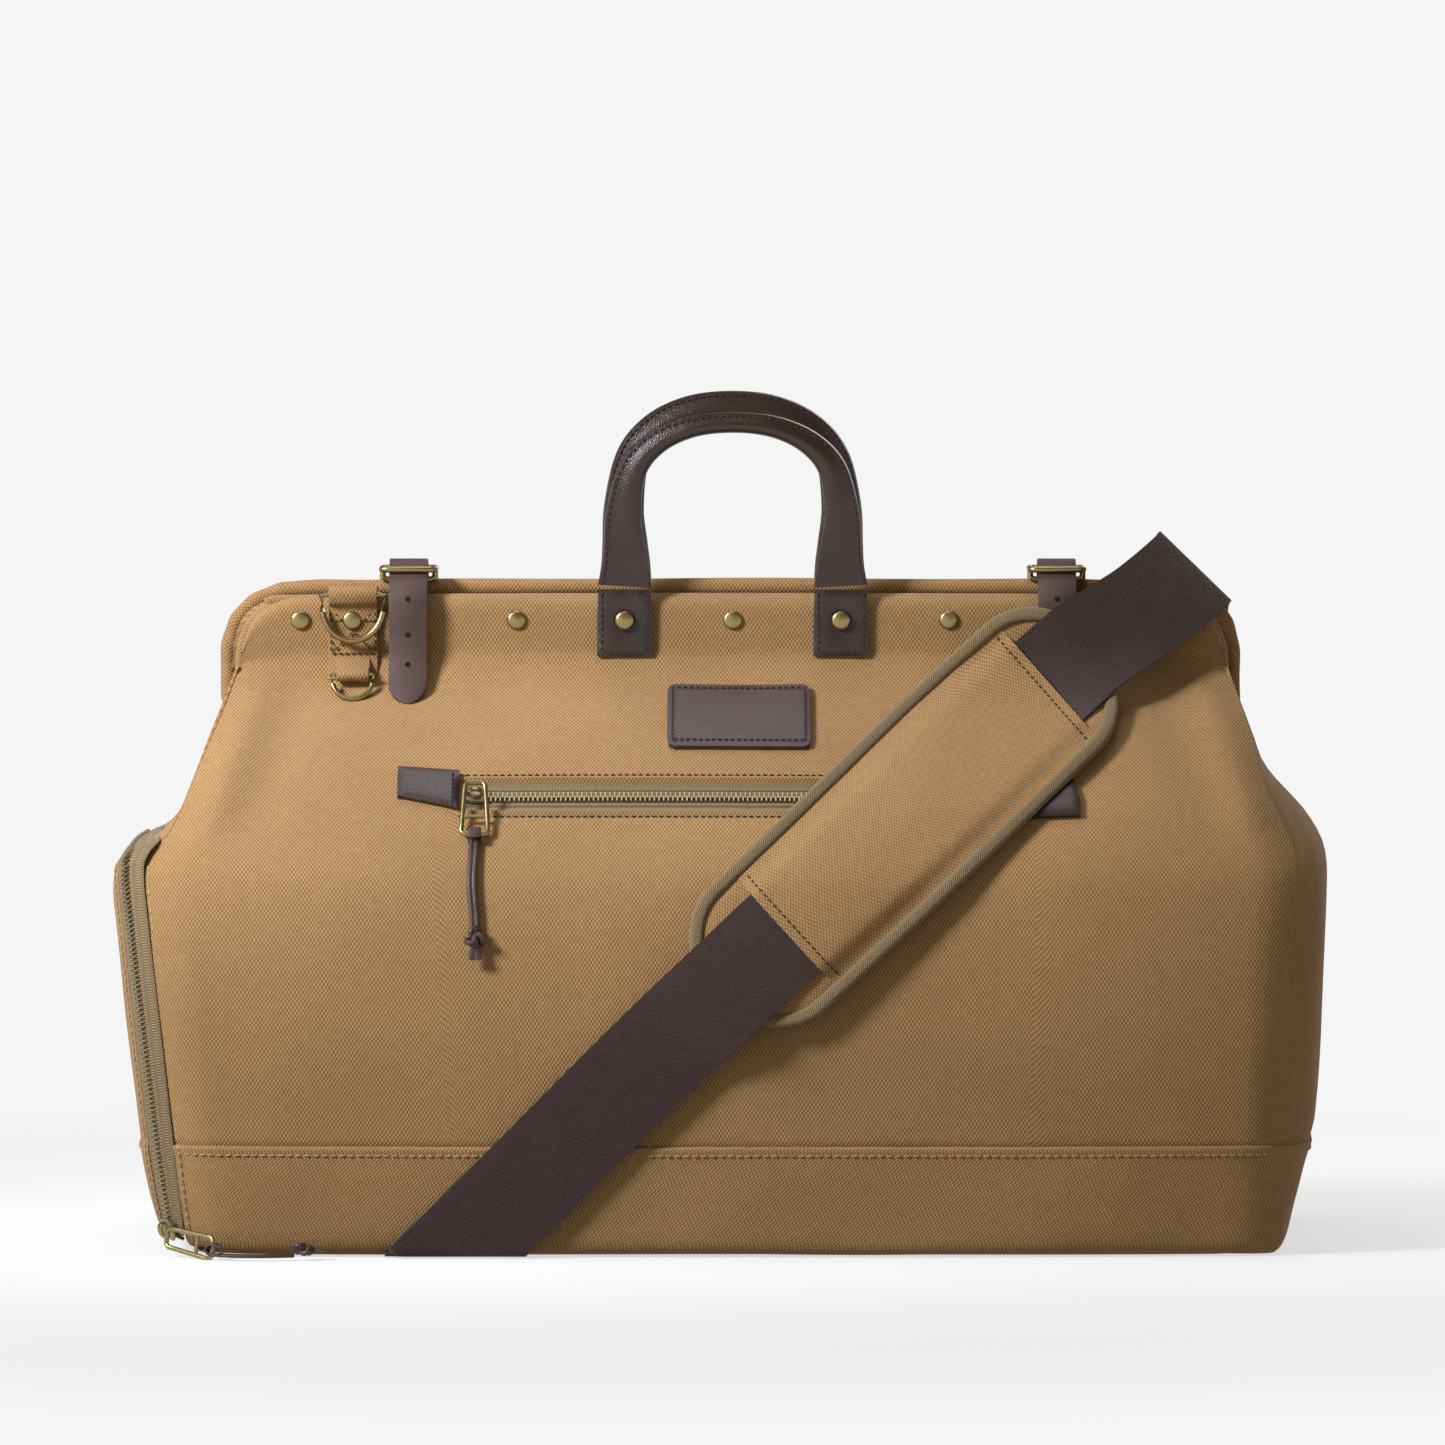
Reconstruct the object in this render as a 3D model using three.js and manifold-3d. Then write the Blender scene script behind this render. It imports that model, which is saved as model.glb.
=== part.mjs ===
// A canvas and leather frame-mouth doctor bag, modelled in millimetres.
// +Z is up, the front faces -Y, the shoe compartment is at the -X end, and the bag stands on z = 0.
import * as THREE from 'three';
import { mergeVertices } from 'three/addons/utils/BufferGeometryUtils.js';
import Module from 'manifold-3d';

const wasm = await Module();
wasm.setup();

// ---------- driving dimensions ----------
const GAP = 0.4; // clearance between touching pieces
const CANVAS = 2.4; // two layers of heavy canvas
const LEATHER = 3;
const WEBBING = 2.2;
const WEBBING_WIDTH = 50;

const BAND_TOP = 54; // seam of the base band
const LOWER_TOP = 200; // top of the upright walls
const UPPER_TOP = 284; // top of the sloped canvas, at the frame
const HINGE_Z = 262; // frame pivots
const CORNER_DROP = 10; // how far the plan corners stand back from the middle of each face
const END_BULGE = 16; // belly of the end panels

const FRONT_HALF = 243; // half-width of the front frame half, outside
const FRONT_CREST = 321;
const FRONT_CORNER = 20;
const BACK_HALF = 250; // half-width of the back frame half, outside
const BACK_CREST = 324.5;
const BACK_CORNER = 27;

const RIVET_Z = 309;
const RIVET_PITCH = 54;
const RIVET_HEAD = 4.65;
const STRAP_X = 162; // closing straps, left and right of the middle
const HANDLE_X = 54; // handle tabs, left and right of the middle
const HANDLE_WIDTH = 27;
const FRONT_HANDLE_TOP = 413;
const BACK_HANDLE_TOP = 421;

const POCKET_ZIP_Z = 225;
const POCKET_ZIP_LEFT = -134;
const POCKET_ZIP_RIGHT = 144;

const COLOURS = {
  canvas: ['#9a7b50', 0.9, 0], canvas_dark: ['#7b5f3d', 0.9, 0], lining: ['#6d5a44', 0.95, 0],
  leather: ['#35201a', 0.45, 0], brass: ['#8d6f3c', 0.4, 0.9], steel: ['#8b8d90', 0.4, 0.9],
  webbing: ['#3a261f', 0.85, 0], board: ['#5b4a3a', 0.9, 0], zip: ['#6b5531', 0.6, 0.3],
};

const bag = new THREE.Group();
const vec = (x, y, z) => new THREE.Vector3(x, y, z);

// ---------- building blocks ----------

// Reads a smooth value from a short list of [position, value] pairs.
function along(table, at) {
  const last = table.length - 1;
  if (at <= table[0][0]) return table[0][1];
  if (at >= table[last][0]) return table[last][1];
  const i = table.findIndex((row, k) => k < last && at <= table[k + 1][0]);
  const slope = (k) => {
    const a = table[Math.max(0, k - 1)];
    const b = table[Math.min(last, k + 1)];
    return (b[1] - a[1]) / (b[0] - a[0]);
  };
  const width = table[i + 1][0] - table[i][0];
  const t = (at - table[i][0]) / width;
  const h1 = (2 * t - 3) * t * t + 1;
  const h2 = ((t - 2) * t + 1) * t;
  const h3 = (3 - 2 * t) * t * t;
  const h4 = (t - 1) * t * t;
  return h1 * table[i][1] + h2 * width * slope(i) + h3 * table[i + 1][1] + h4 * width * slope(i + 1);
}

// Makes a geometry of listed points and faces, turned so that its faces point out.
function closed(points, faces) {
  let volume = 0;
  for (const [a, b, c] of faces) {
    volume += points[a].dot(points[b].clone().cross(points[c]));
  }
  const index = faces.flatMap(([a, b, c]) => (volume < 0 ? [a, c, b] : [a, b, c]));
  const geometry = new THREE.BufferGeometry();
  geometry.setAttribute('position', new THREE.Float32BufferAttribute(points.flatMap((p) => p.toArray()), 3));
  geometry.setIndex(index);
  return geometry;
}

// A thick sheet: at(u, v) is its outer face for u and v from 0 to 1, and it is thick inward.
function sheet(at, nu, nv, thick) {
  const outer = [];
  const inner = [];
  const step = 1e-3;
  for (let j = 0; j <= nv; j += 1) {
    for (let i = 0; i <= nu; i += 1) {
      const u = Math.min(Math.max(i / nu, step), 1 - step);
      const v = Math.min(Math.max(j / nv, step), 1 - step);
      const across = at(u + step, v).sub(at(u - step, v));
      const up = at(u, v + step).sub(at(u, v - step));
      const normal = across.cross(up).normalize();
      const point = at(i / nu, j / nv);
      outer.push(point);
      inner.push(point.clone().addScaledVector(normal, -thick));
    }
  }
  const points = outer.concat(inner);
  const faces = [];
  const row = nu + 1;
  const other = outer.length;
  const quad = (a, b, c, d) => faces.push([a, b, c], [a, c, d]);
  for (let j = 0; j < nv; j += 1) {
    for (let i = 0; i < nu; i += 1) {
      const a = j * row + i;
      quad(a, a + 1, a + row + 1, a + row);
      quad(other + a, other + a + row, other + a + row + 1, other + a + 1);
    }
  }
  for (let i = 0; i < nu; i += 1) {
    const top = nv * row + i;
    quad(i, other + i, other + i + 1, i + 1);
    quad(top, top + 1, other + top + 1, other + top);
  }
  for (let j = 0; j < nv; j += 1) {
    const left = j * row;
    const right = left + nu;
    quad(left, left + row, other + left + row, other + left);
    quad(right, other + right, other + right + row, right + row);
  }
  return closed(points, faces);
}

// Sweeps a section along stations: each has a place p, two directions a and b, and its own outline.
function sweep(stations, outlineOf, loop = false) {
  const points = [];
  const count = outlineOf(stations[0], 0).length;
  stations.forEach((s, k) => {
    for (const [x, y] of outlineOf(s, k)) {
      points.push(s.p.clone().addScaledVector(s.a, x).addScaledVector(s.b, y));
    }
  });
  const faces = [];
  const rings = loop ? stations.length : stations.length - 1;
  for (let k = 0; k < rings; k += 1) {
    const here = k * count;
    const next = ((k + 1) % stations.length) * count;
    for (let i = 0; i < count; i += 1) {
      const j = (i + 1) % count;
      faces.push([here + i, here + j, next + j], [here + i, next + j, next + i]);
    }
  }
  if (!loop) {
    const flat = outlineOf(stations[0], 0).map(([x, y]) => new THREE.Vector2(x, y));
    const turn = THREE.ShapeUtils.area(flat);
    const last = (stations.length - 1) * count;
    for (const [a, b, c] of THREE.ShapeUtils.triangulateShape(flat, [])) {
      const same = THREE.ShapeUtils.area([flat[a], flat[b], flat[c]]) * turn > 0;
      const [p, q, r] = same ? [a, b, c] : [a, c, b];
      faces.push([p, r, q], [last + p, last + q, last + r]);
    }
  }
  return closed(points, faces);
}

const rectangle = (w, t) => [[-w / 2, -t / 2], [w / 2, -t / 2], [w / 2, t / 2], [-w / 2, t / 2]];
const polygon = (r, n) => Array.from({ length: n }, (_, i) => {
  const angle = (2 * Math.PI * (i + 0.5)) / n;
  return [r * Math.cos(angle), r * Math.sin(angle)];
});

// A flat strip along a path: side(t) is the direction across it.
function strip(path, side, width, thick, steps) {
  const curve = new THREE.CatmullRomCurve3(path, false, 'centripetal');
  const stations = [];
  for (let k = 0; k <= steps; k += 1) {
    const t = k / steps;
    const tangent = curve.getTangent(t);
    const across = side(t).clone().addScaledVector(tangent, -side(t).dot(tangent)).normalize();
    stations.push({ p: curve.getPoint(t), a: across, b: tangent.clone().cross(across) });
  }
  return sweep(stations, () => rectangle(width, thick));
}

// A round wire along a closed or open flat path that lies square to the direction `flat`.
function wire(path, radius, flat, loop, sides = 6) {
  const stations = path.map((p, k) => {
    const before = path[loop ? (k + path.length - 1) % path.length : Math.max(0, k - 1)];
    const after = path[loop ? (k + 1) % path.length : Math.min(path.length - 1, k + 1)];
    const tangent = after.clone().sub(before).normalize();
    return { p, a: flat.clone().cross(tangent).normalize(), b: flat.clone() };
  });
  return sweep(stations, () => polygon(radius, sides), loop);
}

function plate(width, height, radius, thick) {
  const w = width / 2;
  const h = height / 2;
  const shape = new THREE.Shape();
  shape.moveTo(-w + radius, -h);
  shape.lineTo(w - radius, -h);
  shape.absarc(w - radius, -h + radius, radius, -Math.PI / 2, 0);
  shape.absarc(w - radius, h - radius, radius, 0, Math.PI / 2);
  shape.absarc(-w + radius, h - radius, radius, Math.PI / 2, Math.PI);
  shape.absarc(-w + radius, -h + radius, radius, Math.PI, 1.5 * Math.PI);
  return new THREE.ExtrudeGeometry(shape, { depth: thick, bevelEnabled: false, curveSegments: 3 });
}

const box = (lo, hi) => new THREE.BoxGeometry(hi[0] - lo[0], hi[1] - lo[1], hi[2] - lo[2])
  .translate((lo[0] + hi[0]) / 2, (lo[1] + hi[1]) / 2, (lo[2] + hi[2]) / 2);

const rodX = (radius, x0, x1, y, z, sides = 12) => new THREE.CylinderGeometry(radius, radius, x1 - x0, sides)
  .rotateZ(Math.PI / 2).translate((x0 + x1) / 2, y, z);

const rodY = (radius, y0, y1, x, z, sides = 10) => new THREE.CylinderGeometry(radius, radius, Math.abs(y1 - y0), sides)
  .translate(x, (y0 + y1) / 2, z);

function solid(geometry) {
  const bare = geometry.clone();
  bare.deleteAttribute('normal');
  bare.deleteAttribute('uv');
  const merged = mergeVertices(bare, 1e-4);
  return new wasm.Manifold(new wasm.Mesh({
    numProp: 3,
    vertProperties: new Float32Array(merged.attributes.position.array),
    triVerts: new Uint32Array(merged.index.array),
  }));
}

function geometryOf(body) {
  const mesh = body.getMesh();
  const geometry = new THREE.BufferGeometry();
  geometry.setAttribute('position', new THREE.Float32BufferAttribute(mesh.vertProperties, 3));
  geometry.setIndex(Array.from(mesh.triVerts));
  return geometry;
}

const cut = (geometry, ...tools) =>
  geometryOf(tools.reduce((body, tool) => body.subtract(solid(tool)), solid(geometry)));
const join = (...geometries) => geometryOf(geometries.map(solid).reduce((a, b) => a.add(b)));

function add(name, colour, geometry) {
  const [color, roughness, metalness] = COLOURS[colour];
  const mesh = new THREE.Mesh(geometry, new THREE.MeshStandardMaterial({ color, roughness, metalness }));
  mesh.name = name;
  bag.add(mesh);
  return mesh;
}

// ---------- outer shape of the bag ----------
const DEPTH = [
  [0, 128], [52, 134], [120, 138], [180, 128], [210, 108], [240, 75], [262, 45], [276, 25], [290, 14],
];
const LEFT_CORNER = [[0, 269], [54, 275], [110, 281], [160, 288], [200, 291]];
const RIGHT_CORNER = [[0, 268], [54, 271], [125, 274], [200, 276]];
const SHOULDER = [[200, 276], [225, 268], [250, 259], [284, 247]];
const LEFT_BULGE = [[0, 6], [54, 14], [110, END_BULGE]];
const DROP = [[200, CORNER_DROP], [284, 0]];

const depth = (z) => along(DEPTH, z);
const corner = (side, z) => along(side < 0 ? LEFT_CORNER : RIGHT_CORNER, z);
const cornerDepth = (z) => depth(z) - along(DROP, z);
const faceDepth = (x, z) => depth(z) - along(DROP, z) * (x / corner(x, z)) ** 4;
const SEAM = [[175, CANVAS + GAP], [215, 7], [276, 6]]; // room for the canvas, which takes more where it slopes
const endHalf = (z) => cornerDepth(z) - along(SEAM, z);

// Front (face = -1) or back (face = 1) wall between two heights, with its half-widths at each height.
function wall(face, low, high, leftAt, rightAt, nu, nv, thick = CANVAS) {
  return sheet((u, v) => {
    const z = low + (high - low) * v;
    const x = -leftAt(z) + (leftAt(z) + rightAt(z)) * u;
    const y = face * faceDepth(x, z);
    return vec(face < 0 ? x : rightAt(z) - leftAt(z) - x, y, z);
  }, nu, nv, thick);
}

// An end wall: it bellies out between its front and back corners.
function endWall(side, low, high, halfAt, bulgeAt, nu, nv, inset = 0) {
  return sheet((u, v) => {
    const z = low + (high - low) * v;
    const half = endHalf(z) - inset;
    const y = side * (-half + 2 * half * u);
    const x = side * (halfAt(z) - inset + bulgeAt(z) * (1 - (y / half) ** 2));
    return vec(x, y, z);
  }, nu, nv, CANVAS);
}

// Plan outline at the floor: front-left corner, front, right end, back, back-left corner, left end.
function plan(inset) {
  const points = [];
  const d = cornerDepth(0) - inset;
  const left = corner(-1, 0) - inset;
  const right = corner(1, 0) - inset;
  const steps = 8;
  const x = (t) => -left + (left + right) * t;
  for (let i = 0; i < steps; i += 1) points.push([x(i / steps), -(faceDepth(x(i / steps), 0) - inset)]);
  for (let i = 0; i < steps; i += 1) {
    const y = -d + (2 * d * i) / steps;
    points.push([right + END_BULGE * (1 - (y / d) ** 2), y]);
  }
  for (let i = 0; i < steps; i += 1) points.push([x(1 - i / steps), faceDepth(x(1 - i / steps), 0) - inset]);
  for (let i = 0; i < steps; i += 1) {
    const y = d - (2 * d * i) / steps;
    points.push([-left - LEFT_BULGE[0][1] * (1 - (y / d) ** 2), y]);
  }
  return points;
}

function slab(inset, low, high) {
  const shape = new THREE.Shape(plan(inset).map(([x, y]) => new THREE.Vector2(x, y)));
  return new THREE.ExtrudeGeometry(shape, { depth: high - low, bevelEnabled: false }).translate(0, 0, low);
}

// ---------- base ----------
const BASE_THICK = 5;
const BOARD_THICK = 3;
const STRAP_FLOOR_X = -146; // middle of the shoulder strap where it runs under the bag
const GROOVE_DEEP = 2.9;
const groove = box(
  [STRAP_FLOOR_X - WEBBING_WIDTH / 2 - 1, -200, -1],
  [STRAP_FLOOR_X + WEBBING_WIDTH / 2 + 1, 200, GROOVE_DEEP],
);

function makeBase() {
  add('base_panel', 'canvas_dark', cut(slab(CANVAS + GAP, 0, BASE_THICK), groove));
  add('base_board', 'board', slab(CANVAS + 8, BASE_THICK + GAP, BASE_THICK + GAP + BOARD_THICK));
  const points = plan(0);
  const walls = points.slice(0, 25); // all but the left end
  const lean = depth(BAND_TOP) - depth(0);
  const stations = walls.map(([x, y], k) => {
    const [ax, ay] = points[Math.max(0, k - 1)];
    const [bx, by] = points[k === 24 ? 24 : k + 1];
    const out = vec(by - ay, ax - bx, 0).normalize();
    return { p: vec(x, y, 0), a: out, b: vec(0, 0, 1) };
  });
  const top = BAND_TOP - GAP;
  const band = sweep(stations, () => [[-CANVAS, 0], [0, 0], [lean, top], [lean - CANVAS, top]]);
  add('base_band', 'canvas', cut(band, groove));
}

// ---------- canvas walls ----------
function makeWalls() {
  const left = (z) => corner(-1, z);
  const right = (z) => corner(1, z);
  const shoulder = (z) => along(SHOULDER, z);
  for (const [name, face] of [['front', -1], ['back', 1]]) {
    add(`${name}_panel`, 'canvas', wall(face, BAND_TOP, LOWER_TOP - CANVAS, left, right, 12, 6));
    add(`${name}_shoulder_canvas`, 'canvas', wall(face, LOWER_TOP, UPPER_TOP, shoulder, shoulder, 12, 8));
  }
  add('right_end_panel', 'canvas', endWall(1, BAND_TOP, LOWER_TOP - CANVAS, right, () => END_BULGE, 6, 5));
  const fade = (z) => along([[200, END_BULGE], [240, 9], [277, 3]], z);
  add('right_gusset', 'canvas', endWall(1, LOWER_TOP, 276, shoulder, fade, 6, 6));
  add('left_gusset', 'canvas', endWall(-1, LOWER_TOP + 6, 276, shoulder, fade, 6, 6));
}

// ---------- shoe compartment at the left end ----------
const PARTITION_X = -236;
const ROOF_EDGE = -290;
const DOOR_FOOT = 6;
const DOOR_EDGE = 197; // height at which the door turns in over the top

function makeShoeCompartment() {
  const inner = (z) => cornerDepth(z) - CANVAS - 2 * GAP;
  add('shoe_partition', 'lining', sheet((u, v) => {
    const z = 9 + (LOWER_TOP - 4 - 9) * v;
    const half = inner(z);
    return vec(PARTITION_X, half - 2 * half * u, z);
  }, 4, 8, 2));
  add('shoe_roof', 'canvas', sheet((u, v) => {
    const x = ROOF_EDGE + (PARTITION_X + 0.5 - ROOF_EDGE) * u;
    const rise = 5 * Math.sin((Math.PI / 2) * u);
    const half = inner(LOWER_TOP) - 2;
    return vec(x, -half + 2 * half * v, LOWER_TOP - 1.5 + rise);
  }, 5, 4, CANVAS));
  add('shoe_door', 'canvas', sheet((u, v) => {
    const rising = Math.min(v / 0.85, 1);
    const turn = Math.max(0, (v - 0.85) / 0.15);
    const z = DOOR_FOOT + (DOOR_EDGE - DOOR_FOOT - 7) * rising + 7 * Math.sin((turn * Math.PI) / 2);
    const half = endHalf(z) - 2;
    const y = half - 2 * half * u;
    const bulge = along(LEFT_BULGE, z) * (1 - (y / half) ** 2);
    const x = -corner(-1, z) - bulge + (bulge - 2) * (1 - Math.cos((turn * Math.PI) / 2));
    return vec(x, y, z);
  }, 8, 14, CANVAS));
}

// ---------- frame: two hinged halves, each a bar in a canvas hem ----------
const FOOT_Z = 279; // where the hem ends on the legs
const BAR_RADIAL = 3.6;
const BAR_DEEP = 8;
const HEM_FACE = 14; // outer face of each hem from the mid-plane
const HALVES = {
  front: { face: -1, half: FRONT_HALF, crest: FRONT_CREST, corner: FRONT_CORNER, bar: 3.2, skirt: 30 },
  back: { face: 1, half: BACK_HALF, crest: BACK_CREST, corner: BACK_CORNER, bar: 6, skirt: 34 },
};

// Stations round the inverted U: a points into the U and b points to the back.
function frameLine({ half, crest, corner: radius, skirt }, foot) {
  const stations = [];
  const put = (x, z, ax, az, deep) => stations.push({ p: vec(x, 0, z), a: vec(ax, 0, az), b: vec(0, 1, 0), deep });
  const leg = 16;
  const arc = 4;
  const turn = (sign, k) => {
    const angle = (Math.PI / 2) * (k / arc);
    const cos = Math.cos(angle);
    const sin = Math.sin(angle);
    put(sign * (half - radius + radius * cos), crest - radius + radius * sin, -sign * cos, -sin, leg);
  };
  put(-half, foot, 1, 0, leg);
  for (let k = 0; k <= arc; k += 1) turn(-1, k);
  put(-half + radius + 8, crest, 0, -1, skirt);
  put(half - radius - 8, crest, 0, -1, skirt);
  for (let k = arc; k >= 0; k -= 1) turn(1, k);
  put(half, foot, -1, 0, leg);
  return stations;
}

function hemOutline(face, deep) {
  const skin = 1.8;
  return [
    [deep, -HEM_FACE], [2, -HEM_FACE], [0, -HEM_FACE + 2], [0, -3], [2, -1],
    [14, -1], [14, -1 - skin], [2.2, -1 - skin], [2.2, -HEM_FACE + skin], [deep, -HEM_FACE + skin],
  ].map(([r, y]) => [r, -face * y]);
}

function makeBar(name, half) {
  const centre = half.face * 7;
  const inner = half.bar;
  const line = frameLine(half, HINGE_Z + 14);
  const feet = [HINGE_Z - 6, HINGE_Z + 4].map((z) => ({ z, y: -centre }));
  const low = (sign) => feet.map(({ z, y }) => (
    { p: vec(sign * half.half, y, z), a: vec(-sign, 0, 0), b: vec(0, 1, 0) }));
  const stations = [...low(-1), ...line, ...low(1).reverse()];
  const outline = () => [
    [inner, centre - BAR_DEEP / 2], [inner + BAR_RADIAL, centre - BAR_DEEP / 2],
    [inner + BAR_RADIAL, centre + BAR_DEEP / 2], [inner, centre + BAR_DEEP / 2],
  ];
  const holes = [-1, 1].map((sign) => rodX(2.4, sign * 240 - 12, sign * 240 + 12, 0, HINGE_Z));
  add(`${name}_frame_bar`, 'steel', cut(sweep(stations, outline), ...holes));
}

// One rivet standing on the plane y = 0 and pointing to -Y: shank length, then the domed head.
function rivet(x, face, from, seat) {
  const length = seat - from;
  const profile = [
    [0, 0], [2, 0], [2, length], [RIVET_HEAD, length], [4.3, length + 1.3], [2.4, length + 2], [0, length + 2.2],
  ].map(([r, y]) => new THREE.Vector2(r, y));
  const body = new THREE.LatheGeometry(profile, 10);
  if (face < 0) body.rotateZ(Math.PI);
  return body.translate(x, face * from, RIVET_Z);
}

const HOLE = 2.4;
const STRIP_Y = 8;
const TAB_SEAT = HEM_FACE + GAP; // inner face of a tab sewn on the hem
const rivetXs = [-4, -3, -2, -1, 0, 1, 2, 3, 4].map((k) => k * RIVET_PITCH);
const RING_TAB_X = -189.5;

function makeRivets(name, half, places) {
  const strip = box([-220, -1, 302], [220, 1, 312]).translate(0, half.face * (STRIP_Y + 1), 0);
  const pieces = places.map(([x, seat]) => rivet(x, half.face, STRIP_Y + 1, seat));
  add(`${name}_rivets`, 'brass', join(strip, ...pieces));
  return places.map(([x]) => rodY(HOLE, half.face * 11, half.face * 16, x, RIVET_Z));
}

function makeHem(name, half, holes) {
  const stations = frameLine(half, FOOT_Z);
  const hem = sweep(stations, (s) => hemOutline(half.face, s.deep));
  add(`${name}_hem`, 'canvas', cut(hem, ...holes));
}

function makeHingePins() {
  for (const [name, sign] of [['left', -1], ['right', 1]]) {
    const x = sign * (FRONT_HALF - 2);
    const pin = rodX(1.9, x - 5.5, x + 5.5, 0, HINGE_Z);
    const head = rodX(3.6, x - sign * 7.5 - 1, x - sign * 7.5 + 1, 0, HINGE_Z);
    add(`hinge_pin_${name}`, 'steel', join(pin.translate(-sign, 0, 0), head));
  }
}

// ---------- leather handles ----------
const HANDLE_SEAT = TAB_SEAT;
const HANDLE_FOOT = 291.5;
const HANDLE_JOIN = 326;
const HANDLE_DEEP = 10.4; // of the folded grip, at the top
const HANDLE_RISE = 81.8;
// Centreline of a handle's left leg: x, and rise above the join.
const HANDLE_LEG = [[-54, 0], [-54, 18], [-54.5, 36], [-50, 58], [-38.5, 71.5], [-21, 79.5]];

function makeHandle(name, half, top) {
  const y = half.face * (HANDLE_SEAT + LEATHER / 2);
  for (const [side, sign] of [['left', -1], ['right', 1]]) {
    const tab = box(
      [sign * HANDLE_X - HANDLE_WIDTH / 2, y - LEATHER / 2, HANDLE_FOOT],
      [sign * HANDLE_X + HANDLE_WIDTH / 2, y + LEATHER / 2, HANDLE_JOIN - 2.2],
    );
    const hole = rodY(HOLE, half.face * 12, half.face * 20, sign * HANDLE_X, RIVET_Z);
    add(`${name}_handle_tab_${side}`, 'leather', cut(tab, hole));
  }
  const middle = vec(0, 0, top - HANDLE_DEEP / 2);
  const stretch = (middle.z - HANDLE_JOIN) / HANDLE_RISE;
  const leg = HANDLE_LEG.map(([x, rise]) => vec(x, 0, HANDLE_JOIN + rise * stretch));
  const mirrored = leg.map((p) => vec(-p.x, 0, p.z)).reverse();
  const path = [...leg, middle, ...mirrored].map((p) => vec(p.x, y * (1 + (0.1 * (p.z - HANDLE_JOIN)) / 90), p.z));
  const curve = new THREE.CatmullRomCurve3(path, false, 'centripetal');
  const steps = 22;
  const stations = [];
  for (let k = 0; k <= steps; k += 1) {
    const t = k / steps;
    const tangent = k === 0 ? vec(0, 0, 1) : k === steps ? vec(0, 0, -1) : curve.getTangent(t);
    const across = tangent.clone().cross(vec(0, 1, 0)).normalize();
    const roll = Math.sin(Math.PI * t) ** 0.8;
    stations.push({ p: curve.getPoint(t), a: across, b: tangent.clone().cross(across), roll });
  }
  add(`${name}_handle`, 'leather', sweep(stations, ({ roll }) => {
    const w = HANDLE_WIDTH / 2 - (half.face < 0 ? 8.3 : 6.3) * roll;
    const t = LEATHER / 2 + 2.9 * roll;
    return [[-w, 0], [-w * 0.8, -t], [w * 0.8, -t], [w, 0], [w * 0.8, t], [-w * 0.8, t]];
  }));
}

// ---------- ring tab on the front hem, with its two D-rings ----------
const BIG_RING = { width: 31, drop: 21, wire: 1.65, y: -19.3, z: 322.5 };
const SMALL_RING = { width: 19, drop: 12, wire: 1.25, y: -26.5, z: 283 };

// D-ring hanging from a straight bar along X through the origin, its bow towards the direction `down`.
function dRing({ width, drop, wire: radius }, down) {
  const w = width / 2 - radius;
  const path = [vec(-w, 0, 0), vec(0, 0, 0), vec(w, 0, 0)];
  const steps = 9;
  for (let k = 0; k <= steps; k += 1) {
    const angle = (Math.PI * k) / steps;
    const reach = 3 * radius + (drop - 4 * radius) * Math.sin(angle);
    const point = vec(w * Math.cos(angle), 0, 0).addScaledVector(down, reach);
    path.push(point);
  }
  return wire(path, radius, vec(1, 0, 0).cross(down).normalize(), true);
}

function makeRingTab() {
  const big = BIG_RING;
  const small = SMALL_RING;
  const half = 12.5;
  const bigHalf = big.width / 2 - 2 * big.wire - 0.6;
  const smallHalf = small.width / 2 - 2 * small.wire - 0.6;
  const flap = box([RING_TAB_X - half, -17, 287], [RING_TAB_X + half, -TAB_SEAT, 320]);
  const eye = rodX(4.6, RING_TAB_X - bigHalf, RING_TAB_X + bigHalf, big.y, big.z, 14);
  const bore = rodX(2.3, RING_TAB_X - 20, RING_TAB_X + 20, big.y, big.z, 10);
  const foot = box([RING_TAB_X - smallHalf, -27, 286], [RING_TAB_X + smallHalf, -TAB_SEAT, 289]);
  const lowEye = rodX(3.4, RING_TAB_X - smallHalf, RING_TAB_X + smallHalf, small.y, small.z, 12);
  const lowBore = rodX(1.8, RING_TAB_X - 20, RING_TAB_X + 20, small.y, small.z, 10);
  const hole = rodY(HOLE, -20, -12, RING_TAB_X, RIVET_Z);
  add('ring_tab', 'canvas', cut(join(flap, eye, foot, lowEye), bore, lowBore, hole));
  add('large_d_ring', 'brass', dRing(big, vec(0, 0, -1)).translate(RING_TAB_X, big.y, big.z));
  const slope = vec(0, -0.7, -0.714);
  add('small_d_ring', 'brass', dRing(small, slope).translate(RING_TAB_X, small.y, small.z));
}

// ---------- closing straps over the crest, each with a centre-bar buckle ----------
const BILLET_WIDTH = 19;
const BUCKLE = { width: 27, long: 26, top: 334.3, bar: 329, wire: 1.6 };

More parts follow.
